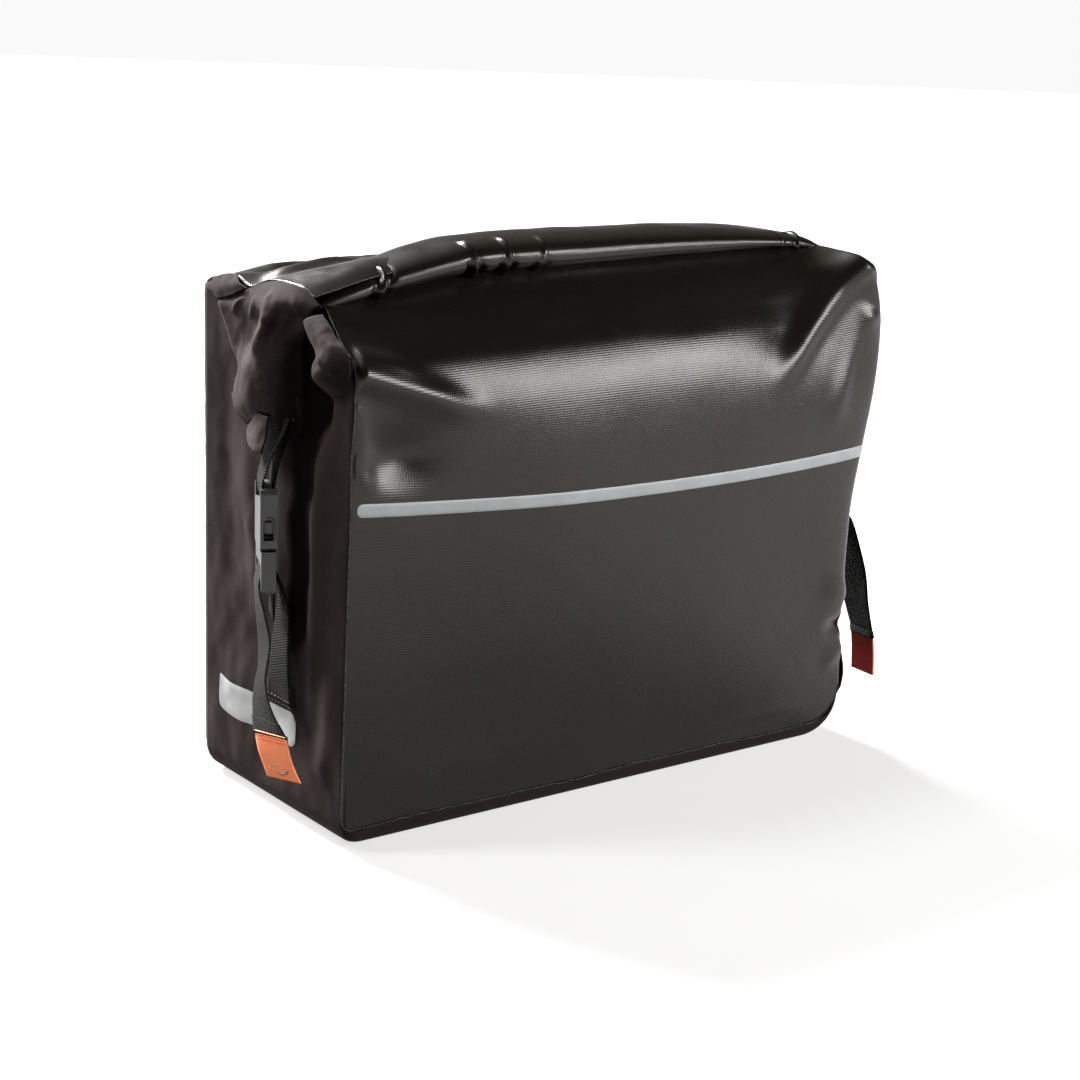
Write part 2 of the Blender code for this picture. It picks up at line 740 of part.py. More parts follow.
# ---------------------------------------------------------------- carry handle
def carry_handle():
    pivot_y, pivot_z = HANDLE_PIVOT
    lug_y = (RAIL_Y + 8.4 + GAP, pivot_y + 4.0)
    for side, word in ((-1, "left"), (1, "right")):
        x = sorted((side * (HANDLE_HALF + 4.6), side * (HANDLE_HALF + 9.6)))
        shape = rounded(lug_y, (pivot_z - 7.0, pivot_z + 7.0), 2.0, 3)
        lug = prism(word + "_handle_lug", shape, "X", *x, HOOK)
        drill(lug, word + "_lug_bore", "X", HANDLE_PIVOT, 2.3, x[0] - 5, x[1] + 5, 14)
        pin_x = sorted((side * (HANDLE_HALF - 4.0), side * (HANDLE_HALF + 9.4)))
        prism(word + "_handle_pin", circle(*HANDLE_PIVOT, 2.0, 14), "X", *pin_x, STEEL)
    # Strap handle: down from one pivot, along the grip and up to the other
    drop = 46.0
    bend = 10.0
    path = []
    legs = ((-1, (5.5, -20.0, -drop + bend)), (1, (-drop + bend, -20.0, 5.5)))
    for side, heights in legs:
        turn = [
            (side * (HANDLE_HALF - bend * (1 - math.sin(a))), -drop + bend * (1 - math.cos(a)))
            for a in (math.radians(d) for d in (0, 30, 60))
        ]
        upright = [(side * HANDLE_HALF, h) for h in heights]
        if side < 0:
            path += upright + list(reversed(turn))
        else:
            path += turn + upright
    stations = [((x, pivot_y, pivot_z + h), (0.0, 1.0, 0.0)) for x, h in path]
    origin = (0.0, pivot_y, pivot_z)
    strap = ribbon("carry_handle", stations, WEBBING, width=8.0, thick=7.0, origin=origin)
    drill(strap, "handle_bore", "X", HANDLE_PIVOT, 2.3, -60, 60, 14)
    grip_z = pivot_z - drop
    shape = rounded((pivot_y - 6.2, pivot_y + 6.2), (grip_z - 6.2, grip_z + 6.2), 4.0, 4)
    grip = prism("handle_grip", shape, "X", -32.0, 32.0, GRIP, origin=origin)
    core = ((pivot_y - 4.3, pivot_y + 4.3), (grip_z - 3.8, grip_z + 3.8))
    cut(grip, box("grip_core", (-40.0, 40.0), *core, None, helper=True))


bag_shell()
closure()
for side, word in ((-1, "left"), (1, "right")):
    side_trim(side, word)
    ear(side, word)
    socket(side, word)
    plug(side, word)
    upper_strap(side, word)
    tail(side, word)
    hook(side, word)
rails()
lower_hook()
carry_handle()
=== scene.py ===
"""Looks of a roll-top bicycle pannier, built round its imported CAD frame."""

import math

import bmesh
import bpy
import numpy as np
from mathutils import Matrix, Vector, noise


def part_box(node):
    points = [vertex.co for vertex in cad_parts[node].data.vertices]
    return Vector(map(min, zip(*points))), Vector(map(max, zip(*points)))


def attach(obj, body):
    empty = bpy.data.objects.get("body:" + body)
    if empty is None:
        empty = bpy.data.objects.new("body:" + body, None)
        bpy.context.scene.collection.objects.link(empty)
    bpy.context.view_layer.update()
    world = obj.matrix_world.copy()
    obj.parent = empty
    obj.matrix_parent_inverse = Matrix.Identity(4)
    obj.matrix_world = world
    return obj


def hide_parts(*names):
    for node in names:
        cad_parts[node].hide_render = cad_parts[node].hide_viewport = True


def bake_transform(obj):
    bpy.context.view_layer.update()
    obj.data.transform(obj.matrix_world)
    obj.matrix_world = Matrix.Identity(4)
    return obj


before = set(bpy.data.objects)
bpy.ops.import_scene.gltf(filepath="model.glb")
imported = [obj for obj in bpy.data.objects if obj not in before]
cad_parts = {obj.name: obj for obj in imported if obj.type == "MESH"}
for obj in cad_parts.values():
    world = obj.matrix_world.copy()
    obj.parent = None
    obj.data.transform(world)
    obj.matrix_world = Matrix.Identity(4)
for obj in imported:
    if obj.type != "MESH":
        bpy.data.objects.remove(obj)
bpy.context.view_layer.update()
MM = 0.001

# ------------------------------------------------------------------ sizes, in millimetres
# A side is -1 on the left and 1 on the right
SIDES = ((-1, "left"), (1, "right"))
HALF = 210.0
FRONT = -85.0
BACK = 86.6
FABRIC = 0.9
# The side fabric wraps this far up onto the front, and this far round the upright seams
BORDER = 13.5
SIDE_BORDER = 3.0
# Round corners at the base: of the bag at each end, and of the front panel at its left end
RADIUS = {-1: 20.0, 1: 30.0}
PANEL_CORNER = 8.0
FOOT_FADE = 60.0
# The buckles stand off the ends, turned to face the front a little
STRAP_Y = {-1: -21.0, 1: -35.0}
BUCKLE_X = 227.0
BUCKLE_YAW = 24.0
# Width and thickness of the webbing
WEB_WIDTH = 25.0
WEB_THICK = 1.3


# ------------------------------------------------------------------ shader helpers
class Nodes:
    """Short calls for building one node material. Bump distances are in metres."""

    def __init__(self, name):
        self.material = bpy.data.materials.new(name)
        self.material.use_nodes = True
        self.tree = self.material.node_tree
        self.shader = self.tree.nodes["Principled BSDF"]

    def new(self, kind, **values):
        node = self.tree.nodes.new(kind)
        for key, value in values.items():
            setattr(node, key, value)
        return node

    def link(self, a, b):
        self.tree.links.new(a, b)

    def put(self, socket, value):
        if isinstance(value, bpy.types.NodeSocket):
            self.link(value, socket)
        else:
            socket.default_value = value

    def math(self, operation, a, b=0.0):
        node = self.new("ShaderNodeMath", operation=operation)
        self.put(node.inputs[0], a)
        self.put(node.inputs[1], b)
        return node.outputs[0]

    def coords(self, source, scale=(1.0, 1.0, 1.0), turn=0.0):
        place = self.new("ShaderNodeTexCoord")
        mapping = self.new("ShaderNodeMapping")
        mapping.inputs["Scale"].default_value = scale
        mapping.inputs["Rotation"].default_value = (0.0, 0.0, turn)
        self.link(place.outputs[source], mapping.inputs["Vector"])
        return mapping.outputs[0]

    def noise(self, vector, scale, detail=3.0, roughness=0.55, distortion=0.0):
        node = self.new("ShaderNodeTexNoise")
        node.inputs["Scale"].default_value = scale
        node.inputs["Detail"].default_value = detail
        node.inputs["Roughness"].default_value = roughness
        node.inputs["Distortion"].default_value = distortion
        self.link(vector, node.inputs["Vector"])
        return node.outputs["Fac"]

    def wave(self, vector, scale, direction="X", distortion=0.0, detail_scale=1.0):
        node = self.new("ShaderNodeTexWave", bands_direction=direction)
        node.inputs["Scale"].default_value = scale
        node.inputs["Distortion"].default_value = distortion
        node.inputs["Detail Scale"].default_value = detail_scale
        self.link(vector, node.inputs["Vector"])
        return node.outputs["Fac"]

    def span(self, value, low, high, to_low, to_high):
        node = self.new("ShaderNodeMapRange")
        self.link(value, node.inputs["Value"])
        for name, number in (
            ("From Min", low),
            ("From Max", high),
            ("To Min", to_low),
            ("To Max", to_high),
        ):
            node.inputs[name].default_value = number
        return node.outputs["Result"]

    def mix(self, factor, a, b):
        node = self.new("ShaderNodeMix", data_type="RGBA")
        self.put(node.inputs["Factor"], factor)
        self.put(node.inputs[6], a)
        self.put(node.inputs[7], b)
        return node.outputs[2]

    def bump(self, height, strength, distance, after=None):
        node = self.new("ShaderNodeBump")
        node.inputs["Strength"].default_value = strength
        node.inputs["Distance"].default_value = distance
        self.link(height, node.inputs["Height"])
        if after is not None:
            self.link(after, node.inputs["Normal"])
        return node.outputs["Normal"]

    def set(self, **values):
        names = {
            "colour": "Base Color",
            "roughness": "Roughness",
            "metallic": "Metallic",
            "normal": "Normal",
            "sheen": "Sheen Weight",
            "sheen_roughness": "Sheen Roughness",
            "sheen_tint": "Sheen Tint",
            "specular": "Specular IOR Level",
            "specular_tint": "Specular Tint",
        }
        for key, value in values.items():
            self.put(self.shader.inputs[names[key]], value)
        return self.material


def rgb(r, g, b):
    return (r, g, b, 1.0)


# ------------------------------------------------------------------ materials
WEAVE_PITCH = 1.5
WAVE_UNIT = math.pi / 10.0


def per_mm(pitch):
    """Wave texture scale for one band in each pitch, on UVs in millimetres."""
    return WAVE_UNIT / pitch


def tarpaulin():
    """Glossy film over a plain weave: ribs show through the coating."""
    m = Nodes("coated_tarpaulin")
    uv = m.coords("UV")
    obj = m.coords("Object")
    ribs = m.wave(uv, per_mm(WEAVE_PITCH), "Y", 0.6, 0.3)
    threads = m.wave(uv, per_mm(WEAVE_PITCH * 1.15), "X", 0.6, 0.3)
    weave = m.math("ADD", m.math("MULTIPLY", ribs, 0.6), m.math("MULTIPLY", threads, 0.4))
    cloud = m.noise(obj, 26.0, 4.0)
    creases = m.noise(obj, 90.0, 5.0, 0.6, 0.8)
    dust = m.noise(obj, 900.0, 2.0, 0.7)
    height = m.math("ADD", weave, m.math("MULTIPLY", m.noise(uv, 1.1, 2.0), 0.35))
    fine = m.bump(height, 0.22, 0.00024)
    soft = m.bump(creases, 0.07, 0.0012, fine)
    tone = m.mix(cloud, rgb(0.0048, 0.0036, 0.0025), rgb(0.0068, 0.0052, 0.0037))
    speck = m.span(dust, 0.70, 0.80, 0.0, 0.35)
    colour = m.mix(speck, tone, rgb(0.022, 0.020, 0.018))
    rough = m.math("ADD", m.span(cloud, 0.2, 0.8, 0.235, 0.285), m.math("MULTIPLY", weave, 0.05))
    return m.set(
        colour=colour,
        roughness=rough,
        normal=soft,
        specular=0.265,
        specular_tint=rgb(1.0, 0.935, 0.865),
    )


def side_fabric():
    """Matte brown-grey cloth with a fine nap."""
    m = Nodes("gusset_fabric")
    uv = m.coords("UV")
    obj = m.coords("Object")
    warp = m.wave(uv, per_mm(0.9), "X", 1.2, 1.0)
    weft = m.wave(uv, per_mm(0.95), "Y", 1.2, 1.0)
    weave = m.math("MULTIPLY", warp, weft)
    nap = m.noise(obj, 1500.0, 3.0, 0.7)
    cloud = m.noise(obj, 30.0, 5.0, 0.6)
    lint = m.noise(obj, 420.0, 2.0, 0.6)
    patchy = m.span(cloud, 0.3, 0.7, 0.0, 1.0)
    base = m.mix(patchy, rgb(0.0118, 0.0080, 0.0073), rgb(0.0172, 0.0119, 0.0109))
    fuzz = m.mix(m.span(nap, 0.35, 0.75, 0.0, 0.6), base, rgb(0.037, 0.0265, 0.0242))
    colour = m.mix(m.span(lint, 0.74, 0.80, 0.0, 0.5), fuzz, rgb(0.11, 0.10, 0.095))
    height = m.math("ADD", m.math("MULTIPLY", weave, 0.6), m.math("MULTIPLY", nap, 0.7))
    normal = m.bump(height, 0.5, 0.00022)
    return m.set(
        colour=colour,
        roughness=0.86,
        normal=normal,
        specular=0.08,
        sheen=0.02,
        sheen_roughness=0.45,
        sheen_tint=rgb(0.9, 0.78, 0.74),
    )


def webbing():
    """Black ribbed tape with slanting ribs along it."""
    m = Nodes("black_webbing")
    uv = m.coords("UV")
    obj = m.coords("Object")
    ribs = m.wave(m.coords("UV", turn=0.35), per_mm(1.7), "Y", 0.25, 2.0)
    cross = m.wave(uv, per_mm(1.0), "X", 0.3, 2.0)
    fibre = m.noise(obj, 2200.0, 3.0, 0.7)
    height = m.math("ADD", m.math("MULTIPLY", ribs, 0.85), m.math("MULTIPLY", cross, 0.25))
    height = m.math("ADD", height, m.math("MULTIPLY", fibre, 0.25))
    # Painted shade: the grooves between the ribs are painted near black and the crests lighter, varied by
    # the fibre noise
    dark, light = rgb(0.0012, 0.0011, 0.0010), rgb(0.021, 0.019, 0.0165)
    shade = m.math("MULTIPLY", m.math("POWER", ribs, 1.6), m.span(fibre, 0.3, 0.8, 0.5, 1.0))
    colour = m.mix(shade, dark, light)
    normal = m.bump(height, 0.9, 0.0008)
    return m.set(
        colour=colour,
        roughness=0.72,
        normal=normal,
        specular=0.07,
        sheen=0.01,
        sheen_roughness=0.4,
    )


def reflective(name, gain):
    """Light grey film with a fine bead texture and a faint honeycomb."""
    m = Nodes(name)
    obj = m.coords("Object")
    cells = m.new("ShaderNodeTexVoronoi", feature="DISTANCE_TO_EDGE")
    cells.inputs["Scale"].default_value = 900.0
    m.link(obj, cells.inputs["Vector"])
    soft = m.noise(obj, 60.0, 4.0)
    beads = m.noise(obj, 2600.0, 2.0, 0.8)
    dull, pale, seam = [rgb(g * gain, (g + 0.005) * gain, g * gain) for g in (0.33, 0.40, 0.27)]
    tone = m.mix(m.span(soft, 0.3, 0.7, 0.0, 1.0), dull, pale)
    edge = m.span(cells.outputs["Distance"], 0.0, 0.08, 0.55, 0.0)
    colour = m.mix(edge, tone, seam)
    normal = m.bump(m.math("ADD", beads, cells.outputs["Distance"]), 0.25, 0.0002)
    return m.set(colour=colour, roughness=0.48, normal=normal, specular=0.5)


def tab_fabric():
    """Orange folded label: tight weave, paler where it has rubbed."""
    m = Nodes("orange_tab")
    uv = m.coords("UV")
    obj = m.coords("Object")
    warp = m.wave(uv, per_mm(0.5), "X", 0.3)
    weft = m.wave(uv, per_mm(0.5), "Y", 0.3)
    weave = m.math("MULTIPLY", warp, weft)
    cloud = m.noise(obj, 160.0, 4.0)
    patchy = m.span(cloud, 0.3, 0.7, 0.0, 1.0)
    base = m.mix(patchy, rgb(0.95, 0.22, 0.075), rgb(0.97, 0.30, 0.125))
    colour = m.mix(m.math("MULTIPLY", weave, 0.35), base, rgb(0.97, 0.46, 0.27))
    normal = m.bump(weave, 0.35, 0.0003)
    return m.set(
        colour=colour,
        roughness=0.62,
        normal=normal,
        specular=0.3,
        sheen=0.15,
        sheen_roughness=0.5,
    )


def tab_painted_shade():
    """Inner face of the label: a dark red copy of the orange weave, painted shade for the face turned from
    the lamps.
    """
    m = Nodes("orange_tab_inner")
    warp = m.wave(m.coords("UV"), per_mm(0.6), "Y", 0.3)
    cloud = m.noise(m.coords("Object"), 160.0, 4.0)
    patchy = m.span(cloud, 0.3, 0.7, 0.0, 1.0)
    # Painted shade: the dark red stands for the orange tab turned away from the lamps
    base = m.mix(patchy, rgb(0.060, 0.0045, 0.0035), rgb(0.085, 0.007, 0.005))
    colour = m.mix(m.math("MULTIPLY", warp, 0.35), base, rgb(0.12, 0.013, 0.009))
    return m.set(colour=colour, roughness=0.7, normal=m.bump(warp, 0.35, 0.0003), specular=0.02)


def moulded(name, colour, rough, grain=1700.0, depth=0.25, scuff=0.25):
    """Moulded plastic with spark texture and faint rubbed spots."""
    m = Nodes(name)
    obj = m.coords("Object")
    spark = m.noise(obj, grain, 3.0, 0.7)
    cloud = m.noise(obj, 70.0, 5.0, 0.6)
    r, g, b, _ = colour
    light = rgb(r * 1.5 + 0.01, g * 1.5 + 0.01, b * 1.5 + 0.01)
    tone = m.mix(m.span(cloud, 0.45, 0.8, 0.0, scuff * 2.0), colour, light)
    worn = m.span(cloud, 0.3, 0.7, rough - 0.05, rough + 0.05)
    roughness = m.math("ADD", worn, m.math("MULTIPLY", spark, 0.08))
    normal = m.bump(spark, depth, 0.00015)
    return m.set(colour=tone, roughness=roughness, normal=normal, specular=0.5)


def metal(name, colour, rough, stretch=(1.0, 1.0, 1.0)):
    """Drawn or machined metal with fine lines and smudges."""
    m = Nodes(name)
    lines = m.noise(m.coords("Object", stretch), 900.0, 4.0, 0.65)
    smudge = m.noise(m.coords("Object"), 45.0, 4.0, 0.6)
    r, g, b, _ = colour
    tone = m.mix(m.span(smudge, 0.35, 0.7, 0.0, 0.6), colour, rgb(r * 0.78, g * 0.78, b * 0.8))
    drawn = m.span(lines, 0.3, 0.7, rough - 0.06, rough + 0.08)
    roughness = m.math("ADD", drawn, m.math("MULTIPLY", smudge, 0.08))
    normal = m.bump(lines, 0.2, 0.0001)
    return m.set(colour=tone, roughness=roughness, metallic=1.0, normal=normal)


def thread_material(name, colour):
    """Twisted sewing thread."""
    m = Nodes(name)
    twist = m.wave(m.coords("UV", turn=0.7), per_mm(0.5), "Y")
    fibre = m.noise(m.coords("Object"), 3000.0, 2.0)
    r, g, b, _ = colour
    tone = m.mix(m.math("MULTIPLY", twist, fibre), rgb(r * 0.55, g * 0.55, b * 0.55), colour)
    normal = m.bump(twist, 0.4, 0.0002)
    return m.set(colour=tone, roughness=0.6, normal=normal, specular=0.3)


def cut_edge():
    """Raw edge of the coated fabric: dark films with pale specks, partly core threads and partly painted
    glints.
    """
    m = Nodes("cut_edge")
    obj = m.coords("Object")
    fray_and_glint_noise = m.noise(obj, 420.0, 4.0, 0.7)
    fine = m.noise(obj, 2500.0, 2.0, 0.7)
    # Pale specks: partly frayed core threads, partly painted glints along the edge
    fray_and_glint_mask = m.span(fray_and_glint_noise, 0.48, 0.66, 0.0, 1.0)
    colour = m.mix(fray_and_glint_mask, rgb(0.008, 0.007, 0.0065), rgb(0.085, 0.080, 0.072))
    normal = m.bump(fine, 0.6, 0.0003)
    return m.set(colour=colour, roughness=0.5, normal=normal, specular=0.3)


MATERIALS = {
    "tarp": tarpaulin(),
    "side": side_fabric(),
    "web": webbing(),
    "reflective": reflective("reflective_tape", 0.9),
    "reflective_patch": reflective("reflective_patch", 0.85),
    "tab": tab_fabric(),
    # Dark red painted-shade copy of the orange tab, used for its inner face
    "tab_shaded_inner": tab_painted_shade(),
    "buckle": moulded("buckle_plastic", rgb(0.040, 0.038, 0.038), 0.40),
    "prong": moulded("prong_plastic", rgb(0.030, 0.029, 0.029), 0.40),
    "hook": moulded("hook_plastic", rgb(0.020, 0.020, 0.021), 0.46, 1300.0, 0.4),
    "latch": moulded("latch_plastic", rgb(0.13, 0.135, 0.14), 0.45, 1300.0, 0.35),
    "rubber": moulded("grip_rubber", rgb(0.013, 0.013, 0.013), 0.7, 2400.0, 0.5, 0.1),
    "board": moulded("stiffener_plastic", rgb(0.03, 0.03, 0.032), 0.5),
    "batten": moulded("batten_plastic", rgb(0.6, 0.6, 0.58), 0.45),
    "rail": metal("rail_aluminium", rgb(0.33, 0.33, 0.34), 0.34, (0.02, 1.0, 1.0)),
    "nut_bar": metal("nut_bar_aluminium", rgb(0.58, 0.58, 0.59), 0.38, (0.02, 1.0, 1.0)),
    "steel": metal("stainless_steel", rgb(0.58, 0.57, 0.56), 0.24),
    "thread": thread_material("black_thread", rgb(0.035, 0.033, 0.032)),
    "tab_thread": thread_material("orange_thread", rgb(0.85, 0.13, 0.05)),
    "mark": thread_material("pale_thread", rgb(0.85, 0.80, 0.74)),
    "edge": cut_edge(),
    "patch": side_fabric(),
}
MATERIALS["patch"].name = "patch_fabric"


# ------------------------------------------------------------------ mesh helpers
def smooth(t):
    t = np.clip(t, 0.0, 1.0)
    return t * t * (3.0 - 2.0 * t)


def ease(t):
    """smooth() of one number."""
    return float(smooth(np.array(t)))


def unit(vectors):
    """Each vector along the last axis, at length 1."""
    size = np.linalg.norm(vectors, axis=-1, keepdims=True)
    return vectors / np.maximum(size, 1e-9)


def catmull_rom(values, t):
    """Rows at places t, counted in rows, on a Catmull-Rom curve through the given rows."""
    last = len(values) - 1
    k = np.clip(t.astype(int), 0, last - 1)
    f = (t - k).reshape((-1,) + (1,) * (values.ndim - 1))
    before = 2 * values[0] - values[1]
    after = 2 * values[-1] - values[-2]
    padded = np.concatenate([before[None], values, after[None]])
    a, b, c, d = padded[k], padded[k + 1], padded[k + 2], padded[k + 3]
    squared = 2 * a - 5 * b + 4 * c - d
    cubed = 3 * b - a - 3 * c + d
    return 0.5 * (2 * b + (c - a) * f + squared * f**2 + cubed * f**3)


def through(values, count):
    """Points along the curve, evenly spaced between the rows."""
    values = np.asarray(values, float)
    return catmull_rom(values, np.linspace(0.0, len(values) - 1, count))


def sample_rows(rows, place):
    """Points across each row at places 0 to 1."""
    values = np.swapaxes(rows, 0, 1)
    return np.swapaxes(catmull_rom(values, np.asarray(place) * (len(values) - 1)), 0, 1)


def patch_through(net, down, across):
    """Dense grid through a small net of points: rows down, columns across."""
    rows = through(np.asarray(net, float), down)
    return np.swapaxes(through(np.swapaxes(rows, 0, 1), across), 0, 1)


def normals_of(grid, closed=False):
    """Unit normals of a grid; a closed one joins its last column to its first."""
    if closed:
        along = np.roll(grid, -1, 1) - np.roll(grid, 1, 1)
    else:
        along = np.gradient(grid, axis=1)
    return unit(np.cross(along, np.gradient(grid, axis=0)))


def pushed(grid, normals, height):
    """The grid moved along its normals."""
    return grid + normals * height[:, :, None]


def ruffled(grid, height, scale, seed):
    """A grid of (out, y, z) with its first number made uneven by noise."""
    return grid + np.array([1.0, 0.0, 0.0]) * (height * field(grid, scale, seed, 2))[:, :, None]


def field(points, scale, seed=0.0, octaves=3):
    """Smooth noise at points in millimetres, about -1 to 1."""
    flat = points.reshape(-1, 3)
    shift = Vector((seed, seed * 0.7, seed * 1.3))
    found = [noise.fractal(Vector(p) / scale + shift, 1.0, 2.0, octaves) for p in flat.tolist()]
    return np.array(found).reshape(points.shape[:-1])


def make(name, points, faces, material, uvs=None):
    """A smooth-shaded object from points in millimetres."""
    mesh = bpy.data.meshes.new(name)
    mesh.from_pydata((np.asarray(points) * MM).tolist(), [], faces)
    if uvs is not None:
        layer = mesh.uv_layers.new(name="UVMap")
        flat = np.asarray([uvs[loop.vertex_index] for loop in mesh.loops], np.float32)
        layer.data.foreach_set("uv", flat.ravel())
    mesh.shade_smooth()
    mesh.materials.append(MATERIALS[material])
    obj = bpy.data.objects.new(name, mesh)
    bpy.context.scene.collection.objects.link(obj)
    return obj


def grid_faces(rows, columns, closed=False):
    faces = []
    for r in range(rows - 1):
        low, high = r * columns, (r + 1) * columns
        for c in range(columns if closed else columns - 1):
            d = (c + 1) % columns
            faces.append((low + c, low + d, high + d, high + c))
    return faces


def tube_faces(rows, columns, caps=True):
    """Faces of a tube of rings, with its ends filled."""
    faces = grid_faces(rows, columns, closed=True)
    if caps:
        faces.append(tuple(range(columns - 1, -1, -1)))
        faces.append(tuple((rows - 1) * columns + c for c in range(columns)))
    return faces


def lengths(grid, axis):
    """Running length along one axis of a grid."""
    step = np.linalg.norm(np.diff(grid, axis=axis), axis=2)
    total = np.cumsum(step, axis=axis)
    zero = np.zeros_like(np.take(total, [0], axis=axis))
    return np.concatenate([zero, total], axis=axis)


def uvs_of(grid):
    """UVs in millimetres: along the middle row across, along the middle column down."""
    across = lengths(grid, 1)[grid.shape[0] // 2]
    down = lengths(grid, 0)[:, grid.shape[1] // 2]
    u, v = np.meshgrid(across, down)
    return np.stack([u.ravel(), v.ravel()], 1)


def sheet_object(name, grid, material, thick=0.0, flip=False):
    """Open grid as a thin shell; thick grows behind the surface."""
    rows, columns = grid.shape[:2]
    faces = grid_faces(rows, columns)
    if flip:
        faces = [tuple(reversed(f)) for f in faces]
    obj = make(name, grid.reshape(-1, 3), faces, material, uvs_of(grid))
    if thick:
        solid = obj.modifiers.new("thickness", "SOLIDIFY")
        solid.thickness = thick * MM
        solid.offset = -1.0
        solid.use_rim = True
    return obj


def tube_object(name, rings, material, caps=True):
    """Closed tube through rings of points."""
    rings = np.asarray(rings, float)
    rows, columns = rings.shape[:2]
    wide = np.concatenate([rings, rings[:, :1]], axis=1)
    uv = uvs_of(wide).reshape(rows, columns + 1, 2)[:, :columns].reshape(-1, 2)
    obj = make(name, rings.reshape(-1, 3), tube_faces(rows, columns, caps), material, uv)
    outward(obj)
    return obj


def outward(obj):
    """Turns every face of the object to the outside."""
    shape = bmesh.new()
    shape.from_mesh(obj.data)
    bmesh.ops.recalc_face_normals(shape, faces=shape.faces)
    shape.to_mesh(obj.data)
    shape.free()


def bead(name, path, radius, material, steps=8, wobble=0.0):
    """Thin round cord or edge along a polyline in millimetres."""
    path = np.asarray(path, float)
    along = unit(np.gradient(path, axis=0))
    first = unit(np.cross(along, np.array([0.0, 0.0, 1.0]) + 0.01))
    second = np.cross(along, first)
    turn = [2 * math.pi * j / steps for j in range(steps)]
    rings = []
    for k, p in enumerate(path):
        r = radius * (1.0 + wobble * noise.noise(Vector(p.tolist()) / 6.0))
        rings.append([p + first[k] * r * math.cos(a) + second[k] * r * math.sin(a) for a in turn])
    return tube_object(name, rings, material)


def strap_points(stations, per_station):
    return through([s[0] for s in stations], (len(stations) - 1) * per_station + 1)


def strap_run(points):
    """Running length along a polyline."""
    return np.concatenate([[0.0], np.cumsum(np.linalg.norm(np.diff(points, axis=0), axis=1))])


def strap_mesh(name, stations, width, thick, material, per_station):
    """Webbing through (point, width direction) stations, with rounded edges and a slight crown."""
    points = strap_points(stations, per_station)
    sides = unit(through([s[1] for s in stations], len(points)))
    ups = unit(np.cross(unit(np.gradient(points, axis=0)), sides))
    # Half of the section: shares of the width, and heights as shares of the thickness
    spans = np.array([-0.5, -0.47, -0.40, -0.2, 0.0, 0.2, 0.40, 0.47, 0.5])
    heights = np.array([0.15, 0.42, 0.5, 0.46, 0.5, 0.46, 0.5, 0.42, 0.15])
    rings = []
    for p, s, n in zip(points, sides, ups):
        top = [p + s * width * a + n * thick * h for a, h in zip(spans, heights)]
        low = [p + s * width * a - n * thick * h for a, h in zip(spans[::-1], heights[::-1])]
        rings.append(top + low)
    rings = np.asarray(rings)
    across = np.concatenate([spans, spans[::-1]]) * width
    uv = [(u, v) for v in strap_run(points) for u in across]
    faces = tube_faces(*rings.shape[:2])
    obj = make(name, rings.reshape(-1, 3), faces, material, np.asarray(uv))
    outward(obj)
    return obj


def stitches(name, path, normal, material, length=2.6, gap=1.4, radius=0.32, lift=0.25):
    """Row of short thread stitches along a polyline, each an arched tube of five rings."""
    path = np.asarray(path, float)
    run = strap_run(path)
    points, faces = [], []
    at = gap
    steps = 6
    normal = np.asarray(normal, float)
    while at + length < run[-1]:
        stops = np.linspace(at, at + length, 5)
        centre = np.stack([np.interp(stops, run, path[:, k]) for k in range(3)], 1)
        arch = np.array([-0.9, 0.55, 1.0, 0.55, -0.9]) * radius + lift
        centre = centre + normal * arch[:, None]
        along = centre[-1] - centre[0]
        along /= np.linalg.norm(along)
        side = np.cross(along, normal)
        base = len(points)
        for middle in centre:
            for j in range(steps):
                a = 2 * math.pi * j / steps
                points.append(middle + radius * (side * math.cos(a) + normal * math.sin(a)))
        faces += [tuple(base + k for k in face) for face in tube_faces(len(centre), steps)]
        at += length + gap
    obj = make(name, points, faces, material, np.asarray(points)[:, :2])
    outward(obj)
    return obj


def settle(replaces):
    """Hides the CAD nodes that a piece stands in for."""
    if replaces:
        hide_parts(*replaces)


def ride(obj, body, slot, *replaces):
    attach(obj, body)
    settle(replaces)


def lift_blend(obj, slot, *replaces):
    """Bakes the piece's placement into its mesh and hides the CAD nodes it stands in for."""
    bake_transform(obj)
    settle(replaces)


# ------------------------------------------------------------------ front panel
# Where the front panel meets the gusset on each side, from the base up to the roll
SEAM = {
    -1: (
        (-212.0, -85.0, 34.0),
        (-211.8, -85.5, 60.0),
        (-211.0, -86.0, 110.0),
        (-210.0, -86.0, 165.0),
        (-209.0, -86.0, 212.0),
        (-208.2, -86.0, 248.0),
        (-207.6, -86.0, 276.0),
        (-207.0, -84.5, 292.0),
        (-206.5, -72.0, 302.5),
        (-205.0, -60.0, 311.0),
        (-203.0, -49.0, 319.0),
        (-200.0, -40.0, 322.0),
        (-196.0, -33.0, 323.0),
    ),
    1: (
        (205.0, -84.0, 44.0),
        (204.0, -83.0, 66.0),
        (200.5, -78.0, 112.0),
        (200.5, -76.0, 165.0),
        (207.0, -75.0, 208.0),
        (214.5, -74.0, 246.0),
        (218.0, -72.0, 276.0),
        (216.0, -72.0, 303.0),
        (211.5, -72.0, 322.0),
        (207.0, -71.0, 334.0),
        (203.0, -57.0, 339.5),
        (199.0, -42.0, 343.0),
        (196.0, -33.0, 344.0),
    ),
}
# Where the panel turns round its right edge
RIGHT_SHOULDER = (
    (199.0, -86.0, 24.0),
    (198.0, -86.0, 56.0),
    (197.5, -88.0, 108.0),
    (200.5, -87.0, 165.0),
    (208.5, -86.0, 208.0),
    (217.0, -84.5, 246.0),
    (221.5, -82.5, 277.0),
    (219.0, -83.0, 303.0),
    (213.5, -83.0, 321.0),
    (208.5, -81.0, 336.0),
    (203.0, -63.0, 340.5),
    (198.0, -46.0, 343.5),
    (195.0, -34.0, 345.0),
)
